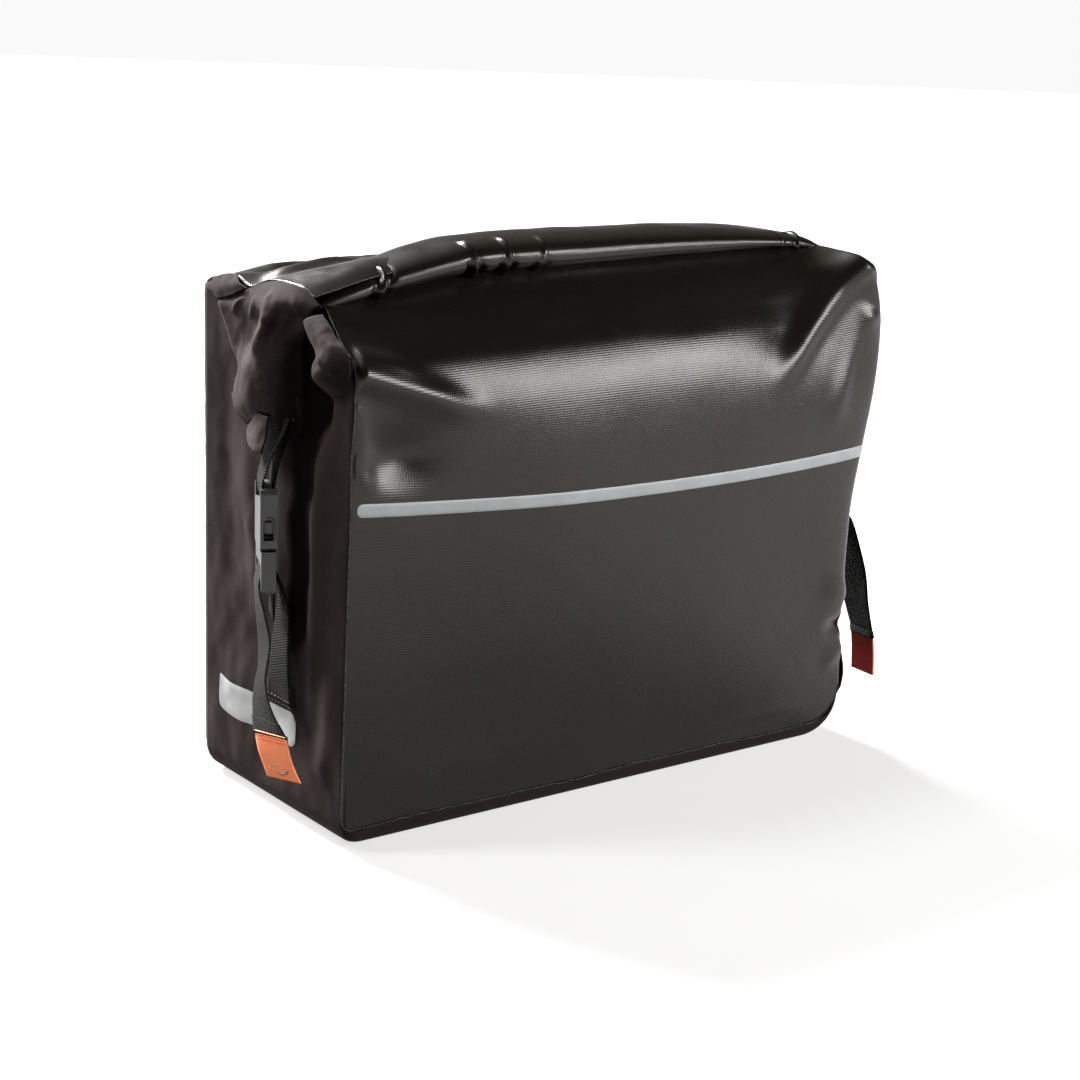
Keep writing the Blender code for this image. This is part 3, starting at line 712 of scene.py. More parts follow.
# Columns between the seams: x, then (y, z) for each row from the border up to the roll.
# Each seam and column has one point in each row.
FRONT_COLUMNS = (
    (
        -150.0,
        (
            (-86, 13.5), (-87, 42), (-88, 105), (-88.5, 165), (-88.5, 209), (-88.5, 244), (-88, 268),
            (-82, 290), (-70, 302), (-57, 311), (-47, 319), (-38, 325), (-30, 330),
        ),
    ),
    (
        -60.0,
        (
            (-86, 13.5), (-88, 42), (-91, 105), (-92.5, 165), (-92.5, 206), (-91, 242), (-87, 270),
            (-79, 293), (-67, 306), (-57, 316), (-47, 326), (-38, 334), (-30, 340),
        ),
    ),
    (
        60.0,
        (
            (-86, 13.5), (-88, 42), (-91, 105), (-92.5, 165), (-92.5, 205), (-91, 243), (-87, 272),
            (-79, 296), (-67, 311), (-57, 322), (-47, 331), (-38, 339), (-30, 345),
        ),
    ),
    (
        150.0,
        (
            (-86, 13.5), (-87, 42), (-89, 105), (-90, 165), (-90.5, 206), (-90, 244), (-85.5, 272),
            (-78, 296), (-67, 313), (-57, 326), (-47, 336), (-38, 343), (-30, 348),
        ),
    ),
)
# Share of the way across at which each seam and column stands
FRONT_STOPS = (0.0, 0.147, 0.363, 0.647, 0.863, 0.975, 1.0)
FRONT_ROWS = 210
FRONT_ACROSS = 300
# Extra columns close to the right edge, where the panel turns
EDGE_COLUMNS = 24


def ridge(x, z, start, end, width, height, fade_in=0.25, fade_out=None):
    """Height of a soft straight ridge between two points; the fades are shares of its length."""
    a = np.array(start, float)
    d = np.array(end, float) - a
    length = np.linalg.norm(d)
    d /= length
    u = ((x - a[0]) * d[0] + (z - a[1]) * d[1]) / length
    v = (x - a[0]) * -d[1] + (z - a[1]) * d[0]
    fade = smooth(u / fade_in) * smooth((1.0 - u) / (fade_out or fade_in))
    return height * fade * np.exp(-((v / width) ** 2))


def dent(x, z, at, across, along, depth):
    """Height of a soft round hollow centred on a point."""
    return -depth * np.exp(-(((x - at[0]) / across) ** 2) - ((z - at[1]) / along) ** 2)


def place_among(stops, even):
    """Places 0 to 1 counted in columns, for even places 0 to 1 counted in width."""
    return np.interp(even, stops, np.arange(len(stops)) / (len(stops) - 1.0))


def rounded_foot(x, low, corners):
    """Heights of a panel's lower edge, with a round corner at each (edge, radius)."""
    z = np.full_like(x, low)
    for edge, radius in corners:
        d = np.minimum(np.abs(x - edge), radius)
        z = np.maximum(z, low + radius - np.sqrt(np.maximum(radius**2 - (radius - d) ** 2, 0.0)))
    return z


def move_foot(grid, z):
    """Moves the lower edge to heights z; the change fades out above it."""
    base = grid[0].copy()
    change = z - base[:, 2]
    height = grid[:, :, 2] - base[None, :, 2]
    grid[:, :, 2] += change[None, :] * np.clip(1.0 - height / FOOT_FADE, 0.0, 1.0)
    return grid


def front_grid():
    """The panel from its lower border up over the slope to the roll."""
    net = []
    for r, (left, shoulder, right) in enumerate(zip(SEAM[-1], RIGHT_SHOULDER, SEAM[1])):
        net.append([left] + [(x, *column[r]) for x, column in FRONT_COLUMNS] + [shoulder, right])
    rows = through(np.asarray(net, float), FRONT_ROWS)
    even = np.linspace(0.0, 1.0, FRONT_ACROSS - EDGE_COLUMNS)
    even = np.sort(np.concatenate([even, np.linspace(0.955, 0.999, EDGE_COLUMNS)]))
    grid = sample_rows(rows, place_among(FRONT_STOPS, even))
    x = grid[0, :, 0].copy()
    z = rounded_foot(x, BORDER, ((x[0], PANEL_CORNER), (x[-1], RADIUS[1])))
    # The hem isn't quite straight
    return move_foot(grid, z + 0.5 * np.sin(x / 31.0) + 0.3 * np.sin(x / 13.0 + 1.0))


def front_relief(grid):
    """Folds and hollows of the panel; ridges and dents give x and z, then sizes in millimetres."""
    x, z = grid[:, :, 0], grid[:, :, 2]
    n = normals_of(grid)
    n = n * (-np.sign(n[100, 150, 1]))
    height = np.zeros_like(x)
    # Crests that run from the top corners into the face, and the hollows beside them
    height += ridge(x, z, (210, 340), (112, 252), 9.0, 6.0, 0.06, 0.5)
    height += dent(x, z, (142, 294), 26.0, 15.0, 3.0)
    height -= ridge(x, z, (212, 300), (184, 236), 7.0, 1.6, 0.2, 0.5)
    height += ridge(x, z, (216, 308), (168, 216), 9.0, 2.4, 0.1, 0.5)
    height += ridge(x, z, (-208, 289), (-104, 256), 9.0, 5.6, 0.05, 0.55)
    height += dent(x, z, (-176, 238), 26.0, 17.0, 7.0)
    height += ridge(x, z, (-204, 300), (-150, 282), 5.0, 1.8, 0.1, 0.5)
    height += ridge(x, z, (-208, 278), (-196, 214), 7.0, 1.6, 0.2)
    # Puckers at the pulled-in place low on the right edge
    height += ridge(x, z, (206, 104), (172, 118), 8.0, 2.2, 0.1, 0.6)
    height -= ridge(x, z, (207, 83), (178, 84), 5.0, 3.4, 0.05, 0.7)
    height += ridge(x, z, (206, 66), (180, 52), 7.0, 1.6, 0.1, 0.6)
    height += ridge(x, z, (40, 18), (180, 30), 8.0, 1.0, 0.3)
    height += ridge(x, z, (-180, 22), (-100, 52), 14.0, 1.0, 0.4)
    middle = smooth((208.0 - np.abs(x)) / 40.0)
    height += 0.7 * field(grid, 110.0, 3.1, 2) * middle
    height += 0.10 * field(grid, 30.0, 8.2, 2) * middle
    # The slope is slack and wrinkles a little
    slack = smooth((z - 292.0) / 14.0) * middle
    height += 0.5 * field(grid * np.array([0.5, 1.0, 1.0]), 24.0, 2.6, 2) * slack
    return pushed(grid, n, height)


front = front_relief(front_grid())
lift_blend(sheet_object("front_skin", front, "tarp", FABRIC), "coated_tarpaulin", "front_panel")


# ------------------------------------------------------------------ gusset
# Upper edge of each side, as (y, z) from the back to the front
GUSSET_TOP = {
    -1: ((86, 321), (62, 326), (30, 324), (0, 330), (-30, 318), (-56, 311), (-72, 302), (-86, 293)),
    1: ((86, 326), (62, 330), (30, 330), (0, 334), (-30, 330), (-56, 330), (-72, 330), (-86, 322)),
}
BACK_EDGE = BACK - 1.5
# Where the round corners at the base have their middle
ARC_X = {-1: -HALF + RADIUS[-1] - 1.5, 1: SEAM[1][0][0] - RADIUS[1] + 3.0}
UPRIGHT_ROWS, ARC_ROWS, FLOOR_ROWS = 70, 12, 90
FLAT_STEPS, WRAP_STEPS = 60, 9


def along_seam(points, z, axis):
    """x (axis 0) or y (axis 1) of a seam at height z."""
    return np.interp(z, [p[2] for p in points], [p[axis] for p in points])


def gusset_rows():
    """(stretch, side, share) of each row, down the left side, under the base, up the right side."""
    rows = [("upright", -1, k / UPRIGHT_ROWS) for k in range(UPRIGHT_ROWS)]
    rows += [("arc", -1, k / ARC_ROWS) for k in range(ARC_ROWS)]
    rows += [("floor", 1, k / (FLOOR_ROWS - 1)) for k in range(FLOOR_ROWS)]
    rows += [("arc", 1, 1.0 - (k + 1) / ARC_ROWS) for k in range(ARC_ROWS)]
    rows += [("upright", 1, 1.0 - (k + 1) / UPRIGHT_ROWS) for k in range(UPRIGHT_ROWS)]
    return rows


def across_gusset(border, edge_y):
    """(y, distance turned inwards) from the back edge to the end of the wrap on the front."""
    for j in range(FLAT_STEPS):
        yield BACK_EDGE + (edge_y + border - BACK_EDGE) * (j / (FLAT_STEPS - 1)), 0.0
    for j in range(WRAP_STEPS):
        a = math.radians(90.0 * (j + 1) / WRAP_STEPS)
        yield edge_y - 0.5 + border - border * math.sin(a), border * (1.0 - math.cos(a))


def upright_point(side, share, y, inward, forward):
    """Point of a side; forward is 0 at the back and 1 at the front seam."""
    top = np.interp(-y, [-p[0] for p in GUSSET_TOP[side]], [p[1] for p in GUSSET_TOP[side]])
    z = top + (RADIUS[side] - top) * share
    x = side * HALF + (along_seam(SEAM[side], z, 0) - side * HALF) * forward
    belly = math.sin(math.pi * min(1.0, max(0.0, (BACK - y) / 171.0)))
    x += side * 1.5 * belly * smooth(np.array((z - 30.0) / 90.0))
    if side > 0:
        x += 8.0 * math.exp(-(((z - 46.0) / 24.0) ** 2)) * forward
    return x - side * inward, y, z


def arc_point(side, share, y, inward, forward):
    """Point of a round corner at the base."""
    a = math.radians(90.0 * share)
    edge = side * HALF + (SEAM[side][0][0] - side * HALF) * forward
    span = abs(edge - ARC_X[side])
    x = ARC_X[side] + side * (span - inward) * math.cos(a)
    return x, y, RADIUS[side] - (RADIUS[side] - inward) * math.sin(a)


def gusset_grid():
    """Strip of side fabric: rows run down the left side, under the base and up the right side."""
    rows = []
    for stretch, side, share in gusset_rows():
        border, edge_y = BORDER, FRONT
        if stretch == "arc":
            border = SIDE_BORDER + (BORDER - SIDE_BORDER) * ease(share)
        if stretch == "upright":
            border = SIDE_BORDER
            if side > 0:
                edge_y = float(along_seam(SEAM[side], 320.0 - 290.0 * share, 1)) + 1.0
        line = []
        for y, inward in across_gusset(border, edge_y):
            forward = ease((BACK - y) / (BACK - FRONT))
            if stretch == "upright":
                line.append(upright_point(side, share, y, inward, forward))
            elif stretch == "arc":
                line.append(arc_point(side, share, y, inward, forward))
            else:
                line.append((ARC_X[-1] + (ARC_X[1] - ARC_X[-1]) * share, y, inward))
        rows.append(line)
    return np.asarray(rows, float)


def gusset_relief(grid):
    """Folds of the sides; ridges give y and z of their ends, then sizes in millimetres."""
    x, y, z = grid[:, :, 0], grid[:, :, 1], grid[:, :, 2]
    n = normals_of(grid)
    if n[20, 20, 0] > 0:
        n = -n
    height = np.zeros_like(x)
    side = smooth((z - 12.0) / 40.0)
    left = (x < 0) * side
    right = (x > 0) * side
    # Long vertical folds on each side and the drag lines under the ear
    height += left * ridge(y, z, (-58, 250), (-50, 60), 9.0, 3.2, 0.3)
    height -= left * ridge(y, z, (-38, 262), (-34, 90), 9.0, 4.2, 0.25)
    height += left * ridge(y, z, (30, 245), (10, 110), 12.0, 2.4, 0.3)
    height -= left * ridge(y, z, (60, 300), (52, 120), 12.0, 2.0, 0.3)
    height += left * ridge(y, z, (-74, 120), (-62, 24), 9.0, 2.2, 0.3)
    height += right * ridge(y, z, (-58, 250), (-62, 60), 10.0, 3.0, 0.3)
    height -= right * ridge(y, z, (-30, 262), (-34, 90), 10.0, 3.4, 0.25)
    height += right * ridge(y, z, (36, 245), (24, 90), 12.0, 2.4, 0.3)
    # Deep hollow between the ear and the folded front corner:
    # its side, depth, distance forward, width, lower end and upper end
    for part, depth, middle, width, low, high in (
        (left, 24.0, 40.0, 15.0, 226.0, 320.0),
        (right, 16.0, 48.0, 14.0, 236.0, 326.0),
    ):
        deep = depth * np.exp(-(((y + middle) / width) ** 2))
        height -= part * (deep * smooth((z - low) / 46.0) * smooth((high - z) / 16.0))
    calm = smooth((z - 2.0) / 20.0)
    inner = smooth((BACK - y) / 18.0) * smooth((y - FRONT + 2.0) / 10.0)
    height += 1.7 * field(grid, 48.0, 5.7, 3) * calm * inner
    height += 0.45 * field(grid, 13.0, 1.9, 2) * calm * inner
    grid = pushed(grid, n, height)
    grid[:, :, 2] = np.maximum(grid[:, :, 2], 0.0)
    return grid


gusset = gusset_relief(gusset_grid())
gusset_obj = sheet_object("gusset_skin", gusset, "side", FABRIC)
outward(gusset_obj)
lift_blend(gusset_obj, "gusset_fabric", "gusset")


# ------------------------------------------------------------------ back panel and the slope up to the roll
# x, then (y, z) for each row, up the flat back and over the slope to under the roll
BACK_COLUMNS = (
    (
        -209.0,
        (
            (BACK, 22), (BACK, 90), (BACK, 170), (BACK, 240), (BACK, 296), (84.5, 321), (66, 327.5),
            (48, 330), (30, 325.5), (10, 331.5), (-10, 333), (-28, 331.5), (-42, 327),
        ),
    ),
    (
        -150.0,
        (
            (BACK, 1.5), (BACK, 80), (BACK, 165), (BACK, 240), (BACK, 300), (84.0, 331), (62, 334),
            (40, 335), (20, 338), (4, 342), (-12, 344.5), (-26, 344.2), (-38, 339),
        ),
    ),
    (
        -50.0,
        (
            (BACK, 1.5), (BACK, 80), (BACK, 165), (BACK, 240), (BACK, 302), (83.0, 333), (60, 338),
            (38, 342), (18, 346), (2, 349), (-10, 348), (-18, 346), (-26, 344),
        ),
    ),
    (
        60.0,
        (
            (BACK, 1.5), (BACK, 80), (BACK, 165), (BACK, 240), (BACK, 302), (83.0, 333), (60, 339),
            (38, 343), (18, 347), (2, 350), (-10, 349), (-18, 348), (-26, 347),
        ),
    ),
    (
        150.0,
        (
            (BACK, 1.5), (BACK, 80), (BACK, 165), (BACK, 240), (BACK, 300), (84.0, 331), (62, 337),
            (40, 342), (20, 345), (4, 349), (-10, 349), (-18, 348.5), (-26, 348),
        ),
    ),
    (
        209.0,
        (
            (BACK, 30), (BACK, 90), (BACK, 170), (BACK, 240), (BACK, 296), (84.5, 325), (66, 331),
            (44, 334), (22, 336), (4, 338), (-14, 339), (-26, 340), (-38, 341),
        ),
    ),
)


BACK_STOPS = (0.0, 0.14, 0.38, 0.645, 0.86, 1.0)
BACK_STEPS = 200
BACK_HALF = 209.0
BACK_FOOT = 2.0


def back_grid():
    """The panel from its foot up the flat back and over the slope to the roll."""
    net = []
    for r in range(len(BACK_COLUMNS[0][1])):
        net.append([(x, *column[r]) for x, column in BACK_COLUMNS])
    rows = through(np.asarray(net, float), BACK_STEPS)
    grid = sample_rows(rows, place_among(BACK_STOPS, np.linspace(0.0, 1.0, BACK_STEPS)))
    corners = ((-BACK_HALF, RADIUS[-1]), (BACK_HALF, RADIUS[1]))
    return move_foot(grid, rounded_foot(grid[0, :, 0].copy(), BACK_FOOT, corners))


def back_relief(grid):
    """Wrinkles of the slope, a calm flat back and the seam's groove near its edge."""
    x, y, z = grid[:, :, 0], grid[:, :, 1], grid[:, :, 2]
    n = normals_of(grid)
    if n[60, 100, 1] < 0:
        n = -n
    slope = smooth((z - 306.0) / 14.0)
    height = slope * 1.4 * field(grid, 46.0, 4.4, 3)
    height += slope * ridge(x, y, (-206, 26), (-110, 60), 9.0, 4.0, 0.3)
    height -= slope * ridge(x, y, (-200, 50), (-130, 74), 8.0, 3.0, 0.3)
    height += slope * ridge(x, y, (206, 26), (120, 62), 9.0, 4.0, 0.3)
    flat = 1.0 - slope
    # Quite flat behind the two rails
    away = smooth((np.abs(z - 274.0) - 16.0) / 20.0) * smooth((np.abs(z - 128.0) - 16.0) / 20.0)
    height += flat * 0.5 * field(grid, 60.0, 6.6, 2) * away
    edge = np.minimum(np.abs(x - grid[:, :1, 0]), np.abs(grid[:, -1:, 0] - x))
    edge = np.minimum(edge, np.abs(z - grid[:1, :, 2]))
    height -= flat * 0.5 * np.exp(-(((edge - 4.0) / 1.3) ** 2))
    return pushed(grid, n, height)


back = back_relief(back_grid())
back_obj = sheet_object("back_skin", back, "tarp", FABRIC)
outward(back_obj)
lift_blend(back_obj, "coated_tarpaulin", "back_panel")


# ------------------------------------------------------------------ the roll
ROLL = (
    # x, top z, bottom z, front y, back y
    (-203.0, 323.5, 318.0, -40.0, -30.0),
    (-196.0, 327.0, 319.0, -42.0, -24.0),
    (-182.0, 333.0, 321.0, -43.0, -14.0),
    (-164.0, 339.5, 323.5, -43.0, -4.0),
    (-146.0, 344.5, 327.0, -43.0, 2.0),
    (-122.0, 350.0, 331.5, -43.0, 7.0),
    (-98.0, 354.5, 334.5, -43.0, 9.0),
    (-70.0, 356.5, 335.5, -43.0, 10.0),
    (-40.0, 357.5, 336.0, -43.0, 11.0),
    (0.0, 358.5, 337.5, -43.0, 11.0),
    (40.0, 359.0, 339.5, -43.0, 11.0),
    (80.0, 359.0, 341.0, -43.0, 11.0),
    (120.0, 358.0, 342.5, -43.0, 10.0),
    (150.0, 356.5, 343.5, -43.0, 9.0),
    (176.0, 354.0, 343.5, -43.0, 5.0),
    (192.0, 351.0, 342.0, -42.0, -4.0),
    (203.0, 346.0, 340.0, -41.0, -18.0),
)
PINCHES = (
    # x, half width, depth
    (-156.0, 4.0, 0.18),
    (-95.0, 4.0, 0.26),
    (-69.0, 4.0, 0.24),
    (-42.0, 4.0, 0.14),
    (163.0, 4.0, 0.10),
    (177.0, 4.5, 0.24),
)


ROLL_STATIONS, ROLL_STEPS = 300, 72
# Height about which the pleats lean, with their hollows below it, and half the roll's length
CREASE_Z = 346.0
ROLL_HALF = 203.0


def roll_rings():
    """Flattened tube along the roll, drawn in at the pinches on its front."""
    rings = []
    for x, top, low, front_y, back_y in through(ROLL, ROLL_STATIONS):
        middle = (top + low) / 2.0
        high = (top - low) / 2.0
        centre = (front_y + back_y) / 2.0
        deep = (back_y - front_y) / 2.0
        ring = []
        for j in range(ROLL_STEPS):
            a = 2.0 * math.pi * j / ROLL_STEPS
            c, s = math.cos(a), math.sin(a)
            u = math.copysign(abs(c) ** 0.72, c)
            v = math.copysign(abs(s) ** 0.86, s)
            scale = 1.0
            facing = math.exp(-(((a - 2.95) / 0.6) ** 2))
            for at, half, depth in PINCHES:
                near = (x - at) / half
                scale -= 0.35 * depth * math.exp(-near * near) * facing
            # Edge of the outer turn of the roll, a step on its rear top
            step = 0.045 if math.radians(58) < a < math.radians(200) else 0.0
            y = centre + deep * u * (1.0 - 0.5 * (1.0 - scale)) * (1.0 + 0.3 * step)
            z = middle + high * v * scale * (1.0 + step)
            # The front face leans back a little
            z += 0.06 * (y - centre)
            ring.append((x, y, z))
        rings.append(ring)
    return np.asarray(rings)


def roll_relief(rings):
    """Unevenness of the roll and the pleat in each pinch."""
    n = normals_of(rings, closed=True)
    centre = rings.mean(axis=1, keepdims=True)
    if ((rings - centre) * n).sum() < 0:
        n = -n
    x, y, z = rings[:, :, 0], rings[:, :, 1], rings[:, :, 2]
    ends = smooth((ROLL_HALF - np.abs(x)) / 22.0)
    height = 0.55 * field(rings, 38.0, 2.2, 2) * ends
    # A sharp little ridge in the middle of each pinch, leaning a little, with a hollow at each side
    on_front = smooth((-24.0 - y) / 12.0)
    for at, _half, depth in PINCHES:
        lean = 0.35 * math.sin(at)
        d = (x - at) - lean * (z - CREASE_Z)
        height += 13.0 * depth * np.exp(-((d / 1.5) ** 2)) * on_front * ends
        for way in (-1.0, 1.0):
            hollow = np.exp(-(((d - way * 4.5) / 2.4) ** 2)) * smooth((CREASE_Z - z) / 8.0)
            height -= 9.0 * depth * hollow * on_front * ends
    return pushed(rings, n, height)


roll_obj = tube_object("roll_skin", roll_relief(roll_rings()), "tarp")
ride(roll_obj, "closure", "coated_tarpaulin", "roll_top")


def batten():
    """Thin strip that keeps the roll straight, inside it along its middle."""
    rings = []
    for x, top, low, front_y, back_y in through(ROLL, 60)[6:-5]:
        y, z = (front_y + back_y) / 2.0, (top + low) / 2.0
        half = 0.28 * (back_y - front_y)
        section = ((-half, -1), (-half, 1), (half, 1), (half, -1))
        rings.append([(x, y + across, z + up) for across, up in section])
    ride(tube_object("batten_strip", rings, "batten"), "closure", "batten_plastic", "roll_batten")


batten()


# ------------------------------------------------------------------ ears
# Rows from the roll's edge down to the open end; across from the rear edge to the front edge.
# Each point is (how far out from the side, y, z).
EAR_NET = (
    (
        (0, 66, 315), (0, 42, 320), (0, 20, 327.5), (0, 0, 332),
        (0, -18, 332.5), (0, -34, 331), (-1, -51, 323),
    ),
    (
        (3, 63, 311), (4, 38, 314), (4, 18, 318), (9, -8, 321),
        (7, -19, 322), (3, -34, 321.5), (0, -45, 320),
    ),
    (
        (3, 56, 302), (4, 33, 304.5), (5, 13, 307), (15, -13, 311),
        (8, -21, 312), (2, -27, 311), (-1, -36, 311),
    ),
    (
        (3, 47, 288), (5, 28, 291), (8, 12, 294), (19, -8, 296),
        (14, -19, 297), (7, -26, 298), (-2, -30, 298),
    ),
    (
        (4, 36, 276), (13, 18, 280), (19, 1, 282), (19, -13, 284),
        (15, -22, 285), (8, -28, 285), (-3, -31, 285),
    ),
    (
        (5, 40, 262), (15, 18, 265), (21, -4, 268), (20, -16, 269),
        (16, -24, 270), (8, -29, 270), (-3, -31, 270),
    ),
    (
        (5, 36, 251), (14, 16, 255), (19, -3, 259), (19, -17, 262),
        (16, -26, 262), (9, -30, 256), (0, -32, 249),
    ),
    (
        (5, 24, 243), (11, 10, 247.5), (15, -3, 252.5), (17, -17, 257),
        (16, -25, 257), (12, -27, 247.5), (8, -28, 239),
    ),
)
EAR_FRONT, EAR_REAR_SIDE, EAR_LENGTH = 66, 30, 96
# Move along y of each ear's open end: the right one hangs further forward
EAR_SWING = {-1: 0.0, 1: -14.0}


def ear_rings(swing):
    """Sleeve of cloth drawn down from the end of the roll; each ring runs front sheet, then back sheet."""
    sheet = patch_through(EAR_NET, EAR_LENGTH, EAR_FRONT)
    rings = []
    for k, line in enumerate(sheet):
        t = k / (EAR_LENGTH - 1.0)
        grow = ease(t / 0.15)
        behind = []
        for j in range(1, EAR_REAR_SIDE + 1):
            f = 1.0 - j / (EAR_REAR_SIDE + 1.0)
            place = f * (EAR_FRONT - 1)
            low = int(place)
            p = line[low] + (line[min(low + 1, EAR_FRONT - 1)] - line[low]) * (place - low)
            near = ease(min(f, 1.0 - f) / 0.14)
            flat = 1.0 * grow - 1.5 * (1.0 - grow)
            out = p[0] + (flat - p[0]) * near - 1.3 * grow * near * (1.0 - near)
            behind.append((min(out, p[0] - 0.3 * near), p[1], p[2]))
        ring = np.concatenate([line, np.asarray(behind)])
        ring[:, 1] += swing * ease(t)
        rings.append(ring)
    return np.asarray(rings)


def turned_out(rings, side):
    """From (out, y, z) to (x, y, z) on one side."""
    found = rings.copy()
    found[:, :, 0] = side * (HALF + rings[:, :, 0])
    return found


def ear_sleeve(side, word, swing):
    """The ear itself, with its folds and the lining turned in at its open end."""
    rings = ear_rings(swing)
    grow = smooth(np.linspace(0.0, 1.0, EAR_LENGTH) / 0.14)[:, None]
    front_part = np.zeros(rings.shape[:2])
    front_part[:, 2 : EAR_FRONT - 2] = 1.0
    n = normals_of(rings, closed=True)
    n = n * np.sign((n[:, 5 : EAR_FRONT - 5, 0]).sum())
    soft = 0.8 * field(rings, 21.0, 9.1 + side, 3) + 0.28 * field(rings, 7.0, 3.3, 2)
    y, z = rings[:, :, 1] - swing * np.linspace(0, 1, EAR_LENGTH)[:, None], rings[:, :, 2]
    soft += ridge(y, z, (29, 322), (45, 306), 1.8, 1.8, 0.4)
    soft += ridge(y, z, (14, 323), (22, 304), 2.6, 1.5, 0.4)
    soft -= ridge(y, z, (4, 318), (12, 300), 3.0, 1.8, 0.4)
    soft += ridge(y, z, (-2, 330), (-16, 306), 3.2, 2.2, 0.3)
    soft += ridge(y, z, (-26, 327), (-38, 314), 2.4, 1.4, 0.4)
    soft -= ridge(y, z, (30, 296), (10, 262), 3.0, 1.2, 0.4)
    full = pushed(rings, n, soft * grow * front_part)
    tip = full[-1] + np.array([0.0, 0.0, -0.8])
    lining = (full - n * 1.3)[::-1][:26]
    full = np.concatenate([full, tip[None] - n[-1:] * 0.6, lining])
    obj = tube_object(word + "_ear_skin", turned_out(full, side), "side", caps=False)
    ride(obj, "closure", "gusset_fabric", word + "_ear")


# Inner layer at the ear's opening: y, out, and how much higher its lowest row is, for each column
FLAP_COLUMNS = (
    (11.0, 5.5, 5.0),
    (5.0, 9.5, 2.0),
    (-3.0, 13.5, -1.0),
    (-11.0, 16.5, -3.0),
    (-19.0, 18.0, -4.0),
    (-26.0, 17.5, -4.5),
)
FLAP_ROWS = (256.0, 249.0, 243.0, 238.5)


def ear_flap(side, word, swing):
    """End of the inner layer, hanging out of the opening over the webbing."""
    net = []
    for drop, z in enumerate(FLAP_ROWS):
        row = [(out + 1.7 * drop, y + swing * 0.97, z + low * drop / 3.0) for y, out, low in FLAP_COLUMNS]
        net.append(row)
    grid = turned_out(ruffled(patch_through(net, 26, 34), 0.7, 8.0, 2.0), side)
    flap = sheet_object(word + "_ear_flap", grid, "side", 1.0, flip=side > 0)
    ride(flap, "closure", "gusset_fabric")


REAR_CORNER_NET = (
    ((-2, 84, 321.5), (-2, 66, 328.3), (-2, 47, 331)),
    ((0, 76, 317.5), (1.5, 58, 322.5), (1, 38, 326.8)),
    ((1, 66, 314), (2, 48, 318), (1, 30, 324.4)),
)


def rear_corner(side, word):
    """Small turned-over corner behind the ear."""
    grid = turned_out(ruffled(patch_through(REAR_CORNER_NET, 26, 40), 0.6, 11.0, 4.0), side)
    corner = sheet_object(word + "_rear_corner", grid, "side", 1.2, flip=side > 0)
    ride(corner, "closure", "gusset_fabric")


for side, word in SIDES:
    ear_sleeve(side, word, EAR_SWING[side])
    ear_flap(side, word, EAR_SWING[side])
    rear_corner(side, word)

# Lapel of side fabric from the roll to the front top corner: tucked edge, free edge, crown, seam edge
LAPEL_NET = (
    ((-8, -36, 309), (1.5, -39, 312), (3.5, -45, 315), (2, -50, 317), (-1, -54, 318)),
    ((-12, -42, 302), (4, -48, 306.5), (6, -55, 309.5), (4, -61, 311.5), (0, -65, 311.5)),
    ((-14, -44, 296), (4, -53, 301), (7, -62, 305), (5.5, -68, 306.5), (1, -73, 306)),
    ((-14, -47, 290), (4, -58, 296), (8, -68, 300), (6.5, -76, 302), (1, -81.5, 302)),
    ((-14, -44, 283), (5, -55, 289), (10.5, -69, 293), (8, -79, 295.5), (1, -85.5, 297)),
    ((-12, -43, 275), (4, -54, 281), (9.5, -68, 285), (7, -78, 288), (0, -85.0, 290)),
    ((-12, -50, 268), (-2, -62, 275), (2, -71, 279), (1.0, -78, 282), (-1, -84, 285)),
    ((-16, -60, 262), (-9, -68, 268), (-7, -73, 272), (-7, -78, 276), (-7, -81, 280)),
)


LAPEL_LOW = 262.0


def lapel(side, word, rise):
    """The fold of side fabric beside the front top corner; rise is how much higher its top stands."""
    grid = patch_through(LAPEL_NET, 80, 60)
    lift = smooth((grid[:, :, 2] - LAPEL_LOW) / 44.0)
    grid[:, :, 2] += rise * lift
    if rise:
        # The right seam stands further back
        grid[:, :, 1] += 15.0 * smooth((-grid[:, :, 1] - 50.0) / 34.0)
        grid[:, :, 0] += 2.0
    n = normals_of(grid)
    n = n * np.sign(n[40, 30, 0])
    wave = 0.6 * field(grid, 10.0, 5.0, 2)
    y, z = grid[:, :, 1], grid[:, :, 2] - rise * lift
    wave += ridge(y, z, (-52, 308), (-74, 290), 2.4, 1.0, 0.3)
    wave -= ridge(y, z, (-60, 296), (-80, 284), 3.0, 1.3, 0.3)
    inside = np.ones(grid.shape[1])
    inside[:3] = 0.0
    inside[-3:] = 0.0
    grid = pushed(grid, n, wave * inside[None, :])
    obj = sheet_object(word + "_lapel", turned_out(grid, side), "side", 1.1, flip=side > 0)
    lift_blend(obj, "gusset_fabric")


lapel(-1, "left", 0.0)
lapel(1, "right", 24.0)


# ------------------------------------------------------------------ cut edges and seams
def outline(grid):
    """Down the left edge, along the foot and up the right edge."""
    return np.concatenate([grid[::-1, 0], grid[0, 1:-1], grid[:, -1]])


def cut_edge_bead(name, path):
    """Raw edge of a coated panel."""
    lift_blend(bead(name, path, 0.36, "edge", 6, 0.6), "coated_tarpaulin")


front_edge = outline(front) + np.array([0.0, -0.1, 0.0])
uneven = 0.35 * field(front_edge, 8.0, 6.0, 2)[:, None]
cut_edge_bead("front_cut_edge", front_edge + np.array([1.0, 0.3, 1.0]) * uneven)
cut_edge_bead("back_cut_edge", outline(back))


